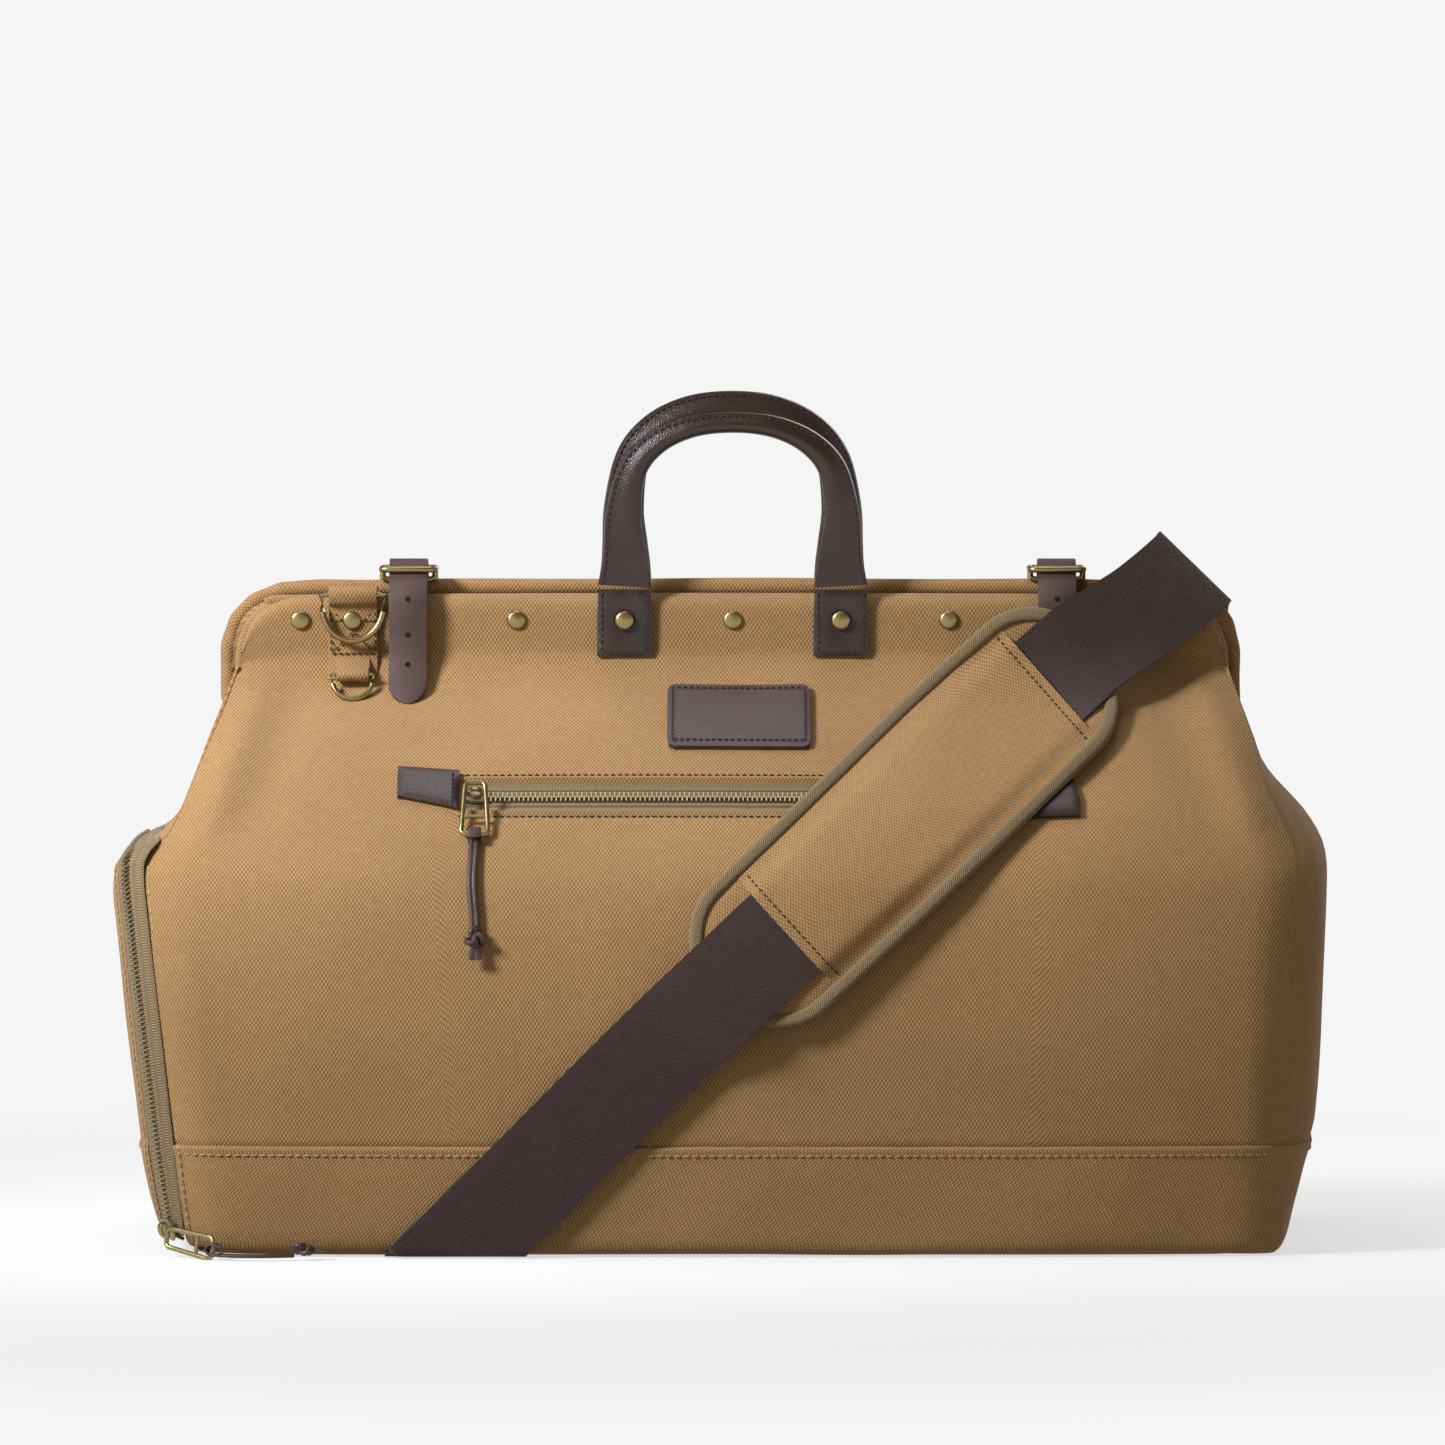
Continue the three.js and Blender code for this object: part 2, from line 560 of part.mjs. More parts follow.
function makeClosingStrap(side, sign) {
  const x = sign * STRAP_X;
  const loop = rodX(4, x - BILLET_WIDTH / 2, x + BILLET_WIDTH / 2, 0, BUCKLE.bar, 14);
  const bore = rodX(2.2, x - 20, x + 20, 0, BUCKLE.bar, 10);
  const slot = box([x - 2.2, -6, BUCKLE.bar - 6], [x + 2.2, 6, BUCKLE.bar + 6]);
  const tail = strip(
    [
      vec(x, -15.7, 291.5), vec(x, -15.7, 312), vec(x, -15.6, 320),
      vec(x, -12, 323.6), vec(x, -5, 325.6), vec(x, -1, 327),
    ],
    () => vec(1, 0, 0), BILLET_WIDTH, 2.4, 14,
  );
  const hole = rodY(HOLE, -20, -12, x, RIVET_Z);
  add(`buckle_chape_${side}`, 'leather', cut(join(tail, loop), bore, slot, hole));

  const w = BUCKLE.width / 2 - BUCKLE.wire;
  const l = BUCKLE.long / 2 - BUCKLE.wire;
  const ring = [
    [-w, -l], [0, -l], [w, -l], [w, -l / 2], [w, l / 2], [w, l], [0, l], [-w, l], [-w, l / 2], [-w, -l / 2],
  ];
  const frame = wire(ring.map(([a, b]) => vec(x + a, b, BUCKLE.top)), BUCKLE.wire, vec(0, 0, 1), true);
  const bar = rodX(1.7, x - w - 1, x + w + 1, 0, BUCKLE.bar, 10);
  const posts = [-w, w].map((a) => box([x + a - 1, -2, BUCKLE.bar], [x + a + 1, 2, BUCKLE.top]));
  add(`buckle_${side}`, 'brass', join(frame, bar, ...posts));

  const eye = cut(rodX(3.4, x - 1.6, x + 1.6, 0, BUCKLE.bar, 12), rodX(2.1, x - 5, x + 5, 0, BUCKLE.bar, 10));
  const path = [vec(x, 1.4, BUCKLE.bar + 2.4), vec(x, 3.4, 334.5), vec(x, 7, 337.7), vec(x, 14, 337.5)];
  const tongue = wire(path, 1.2, vec(1, 0, 0), false);
  add(`buckle_tongue_${side}`, 'brass', join(eye, tongue));

  const over = [
    [18.2, 297], [18.2, 320], [17, 326], [12, 330.2], [6, 333.9], [0, 335.1], [-6, 333.6], [-12, 330],
    [-17.5, 325.5], [-20.8, 318], [-21, 300], [-22, 290], [-27, 281], [-36, 270.5],
  ].map(([y, z]) => vec(x, y, z));
  const billet = strip(over, () => vec(1, 0, 0), BILLET_WIDTH, 2.4, 34);
  const window = box([x - 2.6, -4.5, BUCKLE.bar], [x + 2.6, 9, BUCKLE.bar + 12]);
  const headRoom = rodY(RIVET_HEAD + 0.6, -21.5, -17, x, RIVET_Z);
  add(`closing_strap_${side}`, 'leather', cut(billet, window, headRoom));
}

// ---------- front pocket zip, patch and pulls ----------
const CHAIN_WIDTH = 10;
const LACE = 3.4;
const SLIDER_X = -127;

// A point `out` millimetres proud of the front (face = -1) or back (face = 1).
function onFace(face, x, z, out) {
  const dz = 2;
  const slope = (faceDepth(x, z + dz) - faceDepth(x, z - dz)) / (2 * dz);
  const scale = out / Math.hypot(1, slope);
  return vec(x, face * (faceDepth(x, z) + scale), z - slope * scale);
}

// The direction up the slope of a face.
function upFace(face, x, z) {
  return onFace(face, x, z + 4, 0).sub(onFace(face, x, z - 4, 0)).normalize();
}

// A thin layer lying on a face.
function layer(face, [x0, x1], [z0, z1], out, thick, nu, nv) {
  return sheet((u, v) => {
    const x = face < 0 ? x0 + (x1 - x0) * u : x1 + (x0 - x1) * u;
    return onFace(face, x, z0 + (z1 - z0) * v, out);
  }, nu, nv, thick);
}

// A wire pull with two rungs, hanging from `at` towards `down`, its flat side along X.
function wirePull(at, down, side, long) {
  const half = 3.6;
  const out = side.clone().cross(down).normalize();
  const corners = [[-half, 0], [0, 0], [half, 0], [half, long], [0, long], [-half, long]];
  const point = ([a, b]) => at.clone().addScaledVector(side, a).addScaledVector(down, b);
  const rungs = [0.36, 0.68].map((share) => wire(
    [point([-half, long * share]), point([half, long * share])], 0.9, out, false));
  return join(wire(corners.map(point), 0.9, out, true), ...rungs);
}

function knot(at, along_, tail) {
  const ball = new THREE.SphereGeometry(4.4, 8, 6).translate(at.x, at.y, at.z);
  const end = at.clone().addScaledVector(along_, tail);
  const out = along_.clone().cross(vec(1, 0, 0)).normalize();
  return join(ball, wire([at, end], 2, out, false));
}

function lace(path) {
  const curve = new THREE.CatmullRomCurve3(path);
  return new THREE.ExtrudeGeometry(
    new THREE.Shape(polygon(LACE / 2, 8).map(([x, y]) => new THREE.Vector2(x, y))),
    { steps: 7, bevelEnabled: false, extrudePath: curve },
  );
}

function makePocket() {
  const half = CHAIN_WIDTH / 2;
  const chainZ = [POCKET_ZIP_Z - half, POCKET_ZIP_Z + half];
  add('pocket_zip_chain', 'zip', layer(-1, [POCKET_ZIP_LEFT, POCKET_ZIP_RIGHT], chainZ, 2.2, 1.4, 8, 2));
  add('zip_end_tab_left', 'leather', layer(-1, [-163, POCKET_ZIP_LEFT - 1], [217, 236], 3.2, 2.4, 3, 3));
  add('zip_end_tab_right', 'leather', layer(-1, [POCKET_ZIP_RIGHT + 1, 171], [213, 229], 3.2, 2.4, 3, 3));
  add('leather_patch', 'leather', layer(-1, [-32, 39], [246, 274], 2.6, 1.6, 5, 5));
  const x = SLIDER_X;
  const up = upFace(-1, x, POCKET_ZIP_Z);
  const out = vec(1, 0, 0).cross(up);
  const at = (proud, rise) => onFace(-1, x, POCKET_ZIP_Z, proud).addScaledVector(up, rise);
  const lie = new THREE.Matrix4().makeBasis(vec(1, 0, 0), up, out);
  const put = (geometry, place) => geometry.applyMatrix4(lie).translate(place.x, place.y, place.z);
  const body = put(plate(11, 9, 2.5, 3), at(2.7, 0));
  const eyeAt = at(9, 0);
  const web = put(plate(3, 4, 0.5, 5), at(4, 0));
  const eye = rodX(2.6, x - 1.6, x + 1.6, eyeAt.y, eyeAt.z, 10);
  const bore = rodX(1.4, x - 5, x + 5, eyeAt.y, eyeAt.z, 8);
  add('pocket_zip_slider', 'brass', cut(join(body, web, eye), bore));
  const foot = onFace(-1, x, 206, 3.4);
  const down = foot.clone().sub(eyeAt).normalize();
  add('pocket_zip_pull', 'brass', wirePull(eyeAt, down, vec(1, 0, 0), foot.distanceTo(eyeAt)));
  const route = [202.5, 193, 184, 175, 167, 162.5].map((z) => onFace(-1, x, z, 3));
  add('pocket_lace', 'leather', lace(route));
  add('pocket_lace_knot', 'leather', knot(onFace(-1, x, 157, 5), upFace(-1, x, 157).negate(), 12));
}

// ---------- zip round the shoe compartment ----------
const SHOE_SLIDER_Z = 9;

function makeShoeZip() {
  const edge = (face, z) => vec(-corner(-1, z) - 2.6, face * (cornerDepth(z) - 2.5), z);
  const heights = [14, 40, 70, 100, 130, 160, 185, 194];
  const rise = heights.map((z) => edge(-1, z));
  const over = [-104, -60, 0, 60, 104].map((y) => vec(ROOF_EDGE - 1.5, y, LOWER_TOP + 1.4));
  const fall = heights.map((z) => edge(1, z)).reverse();
  const path = [...rise, ...over, ...fall];
  const stations = path.map((p, k) => {
    const tangent = path[Math.min(k + 1, path.length - 1)].clone().sub(path[Math.max(k - 1, 0)]).normalize();
    const a = vec(1, 0, 0).addScaledVector(tangent, -tangent.x).normalize();
    return { p, a, b: tangent.clone().cross(a) };
  });
  add('shoe_zip_chain', 'zip', sweep(stations, () => polygon(1.9, 6)));

  const z = SHOE_SLIDER_Z;
  const x = -corner(-1, z) - 6.6;
  const y = -cornerDepth(z) + 1;
  const body = box([x - 1.4, y - 6, z - 5], [x + 1.4, y + 1.5, z + 5.5]);
  const eyeAt = vec(x, y - 8.4, z);
  const upright = (radius, tall, sides) => new THREE.CylinderGeometry(radius, radius, tall, sides)
    .rotateX(Math.PI / 2).translate(eyeAt.x, eyeAt.y, eyeAt.z);
  add('shoe_zip_slider', 'brass', cut(join(body, upright(2.8, 3, 10)), upright(1.5, 8, 8)));
  const foot = vec(-256, -139, 5.2);
  const down = foot.clone().sub(eyeAt).normalize();
  const side = vec(0, 0, 1).addScaledVector(down, -down.z).normalize();
  add('shoe_zip_pull', 'brass', wirePull(eyeAt, down, side, foot.distanceTo(eyeAt)));
  const route = [[-252, -141], [-243, -145], [-233, -146.5], [-223, -145], [-216, -143]];
  add('shoe_lace', 'leather', lace(route.map(([a, b]) => vec(a, b, LACE / 2 + 0.3))));
  add('shoe_lace_knot', 'leather', knot(vec(-210.5, -142, 4.5), vec(1, 0.1, -0.12).normalize(), 11));
}

// ---------- shoulder strap, its pad and its rings ----------
// Distance of the inner face of the strap from the mid-plane, by height.
const STRAP_DEPTH = [
  [0, 131], [52, 137.5], [120, 141.5], [180, 132], [210, 112.5], [240, 81], [258, 57], [270, 41.5],
  [281, 33], [292, 27.5], [320, 26],
];
const STRAP_LINE = [[183, 301.5], [165, 287], [86, 216], [-20, 118], [-100, 38], [-150, -12]];
const PAD_HALF_WIDTH = 38;
const PAD_THICK = 8;
const PAD_ROUND = 30;
const PAD_ENDS = [0.018, 0.553]; // along STRAP_LINE
const RING_X = 228;

const strapCurve = new THREE.CatmullRomCurve3(STRAP_LINE.map(([x, z]) => vec(x, 0, z)), false, 'centripetal');

function strapPoint(t, across, out) {
  const p = strapCurve.getPointAt(t);
  const tangent = strapCurve.getTangentAt(t);
  const x = p.x + tangent.z * across;
  const z = p.z - tangent.x * across;
  return vec(x, -(along(STRAP_DEPTH, z) + out), z);
}

// The share of the strap line at which the line `across` reaches the floor.
function floorShare(across) {
  let low = 0.7;
  let high = 1;
  for (let i = 0; i < 30; i += 1) {
    const middle = (low + high) / 2;
    if (strapPoint(middle, across, 0).z > 0.2) low = middle;
    else high = middle;
  }
  return low;
}

function makePad() {
  const [start, end] = PAD_ENDS;
  const long = strapCurve.getLength() * (end - start);
  add('strap_pad', 'canvas', sheet((u, v) => {
    const fromEnd = Math.min(u, 1 - u) * long;
    const gone = Math.max(0, 1 - fromEnd / PAD_ROUND);
    const half = PAD_HALF_WIDTH * Math.sqrt(1 - (0.92 * gone) ** 2);
    return strapPoint(start + (end - start) * u, half * (2 * v - 1), PAD_THICK);
  }, 16, 4, PAD_THICK - 1));
}

const RING_LONG = 17;
const RING_TABS = {
  right: { x: RING_X, tab: [203, 228], eye: 229, way: 1 },
  left: { x: -RING_X, tab: [214, 240], eye: 213, way: -1 },
};

function eyeTube(at, x, half, radius, bore) {
  return [
    rodX(radius, x - half, x + half, at.y, at.z, 12),
    rodX(bore, x - half - 5, x + half + 5, at.y, at.z, 8),
  ];
}

// A leather tab with a ring; way is 1 for a ring that points up the slope and -1 for one that hangs.
function makeStrapRing(side) {
  const { x, tab: tabZ, eye: eyeZ, way } = RING_TABS[side];
  const centre = onFace(1, x, eyeZ, 6);
  const up = upFace(1, x, eyeZ + 4 * way).multiplyScalar(way);
  const tab = layer(1, [x - 24, x + 24], tabZ, 4, 2.8, 3, 3);
  const [eye, bore] = eyeTube(centre, x, 24, 3.8, 2.3);
  add(`strap_ring_tab_${side}`, 'leather', cut(join(tab, eye), bore));
  const half = 28.5;
  const ring = [[-half, 0], [0, 0], [half, 0], [half, RING_LONG], [0, RING_LONG], [-half, RING_LONG]];
  const point = ([a, b]) => centre.clone().add(vec(a, 0, 0)).addScaledVector(up, b);
  const out = vec(1, 0, 0).cross(up).normalize();
  add(`strap_ring_${side}`, 'brass', wire(ring.map(point), 1.9, out, true));
  return centre.addScaledVector(up, RING_LONG);
}

function makeShoulderStrap() {
  const rightTop = makeStrapRing('right');
  const leftTop = makeStrapRing('left');
  const half = WEBBING_WIDTH / 2;

  const over = [
    vec(RING_X, rightTop.y, rightTop.z), vec(227.5, 62, 262), vec(226, 45, 273), vec(225, 29, 288),
    vec(225, 21.5, 304), vec(227, 20, 317), vec(229.5, 17.5, 329), vec(231.5, 10, 335.5), vec(233, 0, 337),
    vec(226, -12, 331), vec(218, -21.5, 325), vec(205, -27.2, 316), vec(194, -28, 308.5),
  ];
  const slant = vec(0.73, 0, -0.68);
  const side = (t) => vec(1, 0, 0).lerp(slant, THREE.MathUtils.smoothstep(t, 0.45, 0.75));
  const [eyeR, boreR] = eyeTube(rightTop, RING_X, half, 4, 2.4);
  add('strap_upper', 'webbing', cut(join(strip(over, side, WEBBING_WIDTH, WEBBING, 30), eyeR), boreR));

  const start = PAD_ENDS[1] + 0.004;
  add('strap_lower', 'webbing', sheet((u, v) => {
    const across = half * (2 * v - 1);
    return strapPoint(start + (floorShare(across) - start) * u, across, WEBBING);
  }, 14, 3, WEBBING));

  const back = 132.5;
  const front = -128;
  add('strap_under', 'webbing', box([STRAP_FLOOR_X - half, front, 0], [STRAP_FLOOR_X + half, back - 3, WEBBING]));
  const riseLine = [[STRAP_FLOOR_X, 0], [-148, 60], [-160, 108], [-184, 146], [-212, 176], [-RING_X, 196]];
  const rise = riseLine.map(([x, z]) => vec(x, along(STRAP_DEPTH, z) + WEBBING / 2, z + 0.5));
  rise[rise.length - 1] = leftTop;
  const [eyeL, boreL] = eyeTube(leftTop, -RING_X, half, 4, 2.4);
  add('strap_rear', 'webbing', cut(join(strip(rise, () => vec(1, 0, 0), WEBBING_WIDTH, WEBBING, 18), eyeL), boreL));
}

// ---------- assembly ----------
makeBase();
makeWalls();
makeShoeCompartment();
for (const [name, half] of Object.entries(HALVES)) {
  const places = rivetXs.map((x) => {
    if (Math.abs(x) === HANDLE_X) return [x, TAB_SEAT + LEATHER + 0.3];
    if (Math.abs(x) === STRAP_X && half.face < 0) return [x, 17.3];
    return [x, HEM_FACE + 0.3];
  });
  if (half.face < 0) places.push([RING_TAB_X, 17.3]);
  makeBar(name, half);
  makeHem(name, half, makeRivets(name, half, places));
}
makeHingePins();
makeHandle('front', HALVES.front, FRONT_HANDLE_TOP);
makeHandle('back', HALVES.back, BACK_HANDLE_TOP);
makeRingTab();
makeClosingStrap('left', -1);
makeClosingStrap('right', 1);
makePocket();
makeShoeZip();
makePad();
makeShoulderStrap();

export default bag;
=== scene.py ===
"""A canvas and leather doctor bag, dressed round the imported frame. Lengths are in millimetres until MM."""

import math

import bmesh
import bpy
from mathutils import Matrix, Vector, noise


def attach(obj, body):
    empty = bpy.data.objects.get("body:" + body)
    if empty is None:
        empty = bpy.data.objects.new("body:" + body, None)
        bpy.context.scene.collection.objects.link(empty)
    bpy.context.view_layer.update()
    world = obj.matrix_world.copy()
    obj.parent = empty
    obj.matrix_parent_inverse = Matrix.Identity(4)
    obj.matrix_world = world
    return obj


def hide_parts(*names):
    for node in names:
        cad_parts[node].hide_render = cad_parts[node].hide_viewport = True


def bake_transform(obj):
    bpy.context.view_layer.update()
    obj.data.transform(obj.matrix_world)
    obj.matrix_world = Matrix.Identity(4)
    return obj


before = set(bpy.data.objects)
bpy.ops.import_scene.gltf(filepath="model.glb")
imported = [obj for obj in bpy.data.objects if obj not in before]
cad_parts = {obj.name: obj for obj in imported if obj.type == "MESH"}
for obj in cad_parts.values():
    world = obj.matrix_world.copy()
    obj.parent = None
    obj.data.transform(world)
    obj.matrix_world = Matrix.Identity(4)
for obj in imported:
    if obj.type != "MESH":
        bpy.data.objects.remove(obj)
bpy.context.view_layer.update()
MM = 0.001
V = Vector
X, Y, Z = V((1, 0, 0)), V((0, 1, 0)), V((0, 0, 1))


# ---------- materials ----------
class Nodes:
    """Short hand for adding and linking the nodes of one material."""

    def __init__(self, material):
        self.tree = material.node_tree

    def add(self, kind, values=None, **settings):
        node = self.tree.nodes.new(kind)
        for key, value in settings.items():
            setattr(node, key, value)
        for key, value in (values or {}).items():
            if isinstance(value, bpy.types.NodeSocket):
                self.link(value, node.inputs[key])
            else:
                node.inputs[key].default_value = value
        return node

    def math(self, operation, a, b=0.0):
        return self.add("ShaderNodeMath", {0: a, 1: b}, operation=operation).outputs[0]

    def mix(self, share, a, b, blend="MIX"):
        return self.add("ShaderNodeMix", {0: share, 6: a, 7: b}, data_type="RGBA", blend_type=blend).outputs[2]

    def place(self):
        return self.add("ShaderNodeTexCoord").outputs["Object"]

    def noise(self, vector, scale, detail=3.0):
        values = {"Vector": vector, "Scale": scale, "Detail": detail, "Roughness": 0.55}
        return self.add("ShaderNodeTexNoise", values).outputs["Fac"]

    def ramp(self, value, low, high):
        return self.add("ShaderNodeMapRange", {0: value, 1: low, 2: high}, clamp=True).outputs[0]

    def link(self, socket, target):
        self.tree.links.new(socket, target)

    def bump(self, shader, height, distance, strength):
        values = {"Height": height, "Distance": distance, "Strength": strength}
        self.link(self.add("ShaderNodeBump", values).outputs[0], shader.inputs["Normal"])


def new_material(name, rough, metal=0.0, sheen=0.0, coat=0.0, specular=0.5):
    material = bpy.data.materials.new(name)
    material.use_nodes = True
    shader = material.node_tree.nodes["Principled BSDF"]
    for key, value in (("Roughness", rough), ("Metallic", metal), ("Sheen Weight", sheen), ("Coat Weight", coat),
                       ("Specular IOR Level", specular)):
        shader.inputs[key].default_value = value
    return material, shader, Nodes(material)


def rgb(red, green, blue):
    return (red, green, blue, 1.0)


CANVAS_LIGHT = rgb(0.50, 0.315, 0.143)
CANVAS_MID = rgb(0.36, 0.208, 0.08)
CANVAS_DARK = rgb(0.225, 0.12, 0.04)
DOT_PITCH, ROW_PITCH = 1.9, 2.9


def woven(n, pitch_u, pitch_v):
    """The UV map, the height of a plain weave on it from 0 to 1, and the height of its ribs."""
    uv = n.add("ShaderNodeUVMap").outputs[0]
    parts = n.add("ShaderNodeSeparateXYZ", {0: uv}).outputs
    wobble = n.math("MULTIPLY", n.noise(uv, 45.0, 2.0), 2.2)
    turn = 2 * math.pi / MM
    across = n.math("SINE", n.math("ADD", n.math("MULTIPLY", parts[0], turn / pitch_u), wobble))
    up = n.math("SINE", n.math("ADD", n.math("MULTIPLY", parts[1], turn / pitch_v), wobble))
    return uv, n.math("ADD", n.math("MULTIPLY", n.math("MULTIPLY", across, up), 0.5), 0.5), across


def canvas_material():
    material, shader, n = new_material("canvas", 0.92, sheen=0.12, specular=0.25)
    uv, dots, _ = woven(n, DOT_PITCH, ROW_PITCH)
    thread = n.mix(n.ramp(dots, 0.1, 0.62), CANVAS_DARK, CANVAS_MID)
    thread = n.mix(n.ramp(dots, 0.6, 0.95), thread, CANVAS_LIGHT)
    slub = n.ramp(n.noise(uv, 260.0, 2.0), 0.35, 0.75)
    thread = n.mix(n.math("MULTIPLY", slub, 0.28), thread, CANVAS_LIGHT)
    cloud = n.ramp(n.noise(uv, 9.0, 4.0), 0.3, 0.7)
    wash = n.mix(cloud, rgb(0.88, 0.86, 0.84), rgb(1.06, 1.05, 1.03))
    thread = n.mix(1.0, thread, wash, "MULTIPLY")
    n.link(thread, shader.inputs["Base Color"])
    n.bump(shader, n.math("ADD", dots, n.math("MULTIPLY", n.noise(uv, 900.0, 2.0), 0.35)), 0.00035, 0.7)
    return material


def leather_material(name, colour, rough, grain, gloss, worn):
    material, shader, n = new_material(name, rough, coat=gloss, specular=0.5)
    shader.inputs["Coat Roughness"].default_value = 0.28
    place = n.place()
    cells = n.add("ShaderNodeTexVoronoi", {"Vector": place, "Scale": grain}, feature="DISTANCE_TO_EDGE")
    pores = n.ramp(cells.outputs["Distance"], 0.0, 0.16)
    cloud = n.ramp(n.noise(place, 42.0, 5.0), 0.32, 0.7)
    lighter = tuple(min(1.0, c * worn) for c in colour[:3]) + (1.0,)
    base = n.mix(cloud, colour, lighter)
    base = n.mix(n.math("MULTIPLY", pores, 0.25), base, lighter)
    n.link(base, shader.inputs["Base Color"])
    n.link(n.math("ADD", n.math("MULTIPLY", n.noise(place, 130.0), 0.22), rough - 0.11), shader.inputs["Roughness"])
    n.bump(shader, n.math("ADD", pores, n.noise(place, 350.0)), 0.00012, 0.5)
    return material


def brass_material(name, bright, dark, rough):
    material, shader, n = new_material(name, rough, metal=1.0)
    place = n.place()
    patina = n.ramp(n.noise(place, 160.0, 5.0), 0.35, 0.68)
    edge = n.ramp(n.add("ShaderNodeNewGeometry").outputs["Pointiness"], 0.49, 0.56)
    base = n.mix(patina, dark, bright)
    n.link(n.mix(edge, base, bright), shader.inputs["Base Color"])
    n.link(n.math("ADD", n.math("MULTIPLY", n.noise(place, 240.0), 0.25), rough - 0.1), shader.inputs["Roughness"])
    n.bump(shader, n.noise(place, 600.0, 3.0), 0.00006, 0.4)
    return material


def webbing_material():
    """Brown webbing with fine ribs along V and a plain weave of dots over them."""
    material, shader, n = new_material("webbing", 0.85, sheen=0.2, specular=0.3)
    uv, dots, across = woven(n, 1.25, 2.1)
    base = n.mix(n.ramp(dots, 0.2, 0.9), rgb(0.0195, 0.0086, 0.007), rgb(0.08, 0.041, 0.034))
    cloud = n.ramp(n.noise(uv, 60.0, 3.0), 0.3, 0.8)
    base = n.mix(n.math("MULTIPLY", cloud, 0.25), base, rgb(0.07, 0.045, 0.038))
    n.link(base, shader.inputs["Base Color"])
    n.bump(shader, n.math("ADD", dots, n.math("MULTIPLY", across, 0.35)), 0.0005, 0.8)
    return material


def tape_material():
    """Khaki herringbone tape: slanted ribs that turn back in each band."""
    material, shader, n = new_material("tape", 0.85, sheen=0.15, specular=0.3)
    uv = n.add("ShaderNodeUVMap").outputs[0]
    parts = n.add("ShaderNodeSeparateXYZ", {0: uv}).outputs
    fold = n.math("PINGPONG", n.math("MULTIPLY", parts[1], 1 / MM), 2.4)
    rib = n.math("SINE", n.math("MULTIPLY", n.math("ADD", n.math("MULTIPLY", parts[0], 1 / MM), fold), 4.6))
    base = n.mix(n.ramp(rib, -0.7, 0.9), rgb(0.15, 0.1, 0.044), rgb(0.34, 0.245, 0.125))
    n.link(base, shader.inputs["Base Color"])
    n.bump(shader, rib, 0.0003, 0.6)
    return material


def plain_cloth(name, dark, light, scale):
    material, shader, n = new_material(name, 0.9, sheen=0.15, specular=0.25)
    place = n.place()
    fleck = n.noise(place, scale, 3.0)
    n.link(n.mix(n.ramp(fleck, 0.35, 0.65), dark, light), shader.inputs["Base Color"])
    n.bump(shader, fleck, 0.0003, 0.6)
    return material


def steel_material():
    material, shader, n = new_material("frame_steel", 0.35, metal=1.0)
    place = n.place()
    streak = n.noise(n.add("ShaderNodeMapping", {0: place, 3: (8.0, 220.0, 220.0)}).outputs[0], 3.0, 4.0)
    n.link(n.mix(streak, rgb(0.33, 0.33, 0.34), rgb(0.62, 0.62, 0.63)), shader.inputs["Base Color"])
    n.bump(shader, streak, 0.00008, 0.4)
    return material


MATERIALS = {
    "canvas": canvas_material(),
    "tape": tape_material(),
    "lining": plain_cloth("lining", rgb(0.12, 0.085, 0.05), rgb(0.2, 0.145, 0.09), 900.0),
    "board": plain_cloth("board", rgb(0.06, 0.045, 0.03), rgb(0.1, 0.075, 0.05), 500.0),
    "handle_leather": leather_material("handle_leather", rgb(0.021, 0.0085, 0.0055), 0.36, 700.0, 0.28, 1.5),
    "patch_leather": leather_material("patch_leather", rgb(0.052, 0.03, 0.028), 0.42, 800.0, 0.12, 1.4),
    "strap_leather": leather_material("strap_leather", rgb(0.05, 0.026, 0.021), 0.62, 900.0, 0.0, 1.7),
    "lace_leather": leather_material("lace_leather", rgb(0.036, 0.015, 0.012), 0.5, 900.0, 0.1, 1.7),
    # Painted shade: a near-black cloth for the flat discs that stand for the dark inside of the closing straps' holes.
    "hole_painted_shade": plain_cloth("hole_painted_shade", rgb(0.004, 0.003, 0.003), rgb(0.006, 0.004, 0.004), 500.0),
    "brass": brass_material("brass", rgb(0.36, 0.28, 0.125), rgb(0.15, 0.11, 0.042), 0.34),
    "zip_metal": brass_material("zip_metal", rgb(0.36, 0.3, 0.18), rgb(0.12, 0.095, 0.05), 0.42),
    "frame_steel": steel_material(),
    "webbing": webbing_material(),
    "tan_thread": plain_cloth("tan_thread", rgb(0.36, 0.235, 0.1), rgb(0.62, 0.44, 0.22), 2600.0),
    "brown_thread": plain_cloth("brown_thread", rgb(0.022, 0.012, 0.008), rgb(0.06, 0.035, 0.022), 2600.0),
}


# ---------- building blocks ----------
def along(table, at):
    """A smooth value from a short list of (position, value) pairs."""
    last = len(table) - 1
    if at <= table[0][0]:
        return table[0][1]
    if at >= table[last][0]:
        return table[last][1]
    i = next(k for k in range(last) if at <= table[k + 1][0])

    def slope(k):
        a, b = table[max(0, k - 1)], table[min(last, k + 1)]
        return (b[1] - a[1]) / (b[0] - a[0])

    width = table[i + 1][0] - table[i][0]
    t = (at - table[i][0]) / width
    near = ((2 * t - 3) * t * t + 1) * table[i][1] + ((t - 2) * t + 1) * t * width * slope(i)
    return near + (3 - 2 * t) * t * t * table[i + 1][1] + (t - 1) * t * t * width * slope(i + 1)


def ease(low, high, value):
    t = min(max((value - low) / (high - low), 0.0), 1.0)
    return t * t * (3 - 2 * t)


def ripple(x, z, size, seed):
    """Smooth noise from -1 to 1 with bumps about `size` across."""
    return noise.noise(V((x / size, z / size, seed * 7.31)))


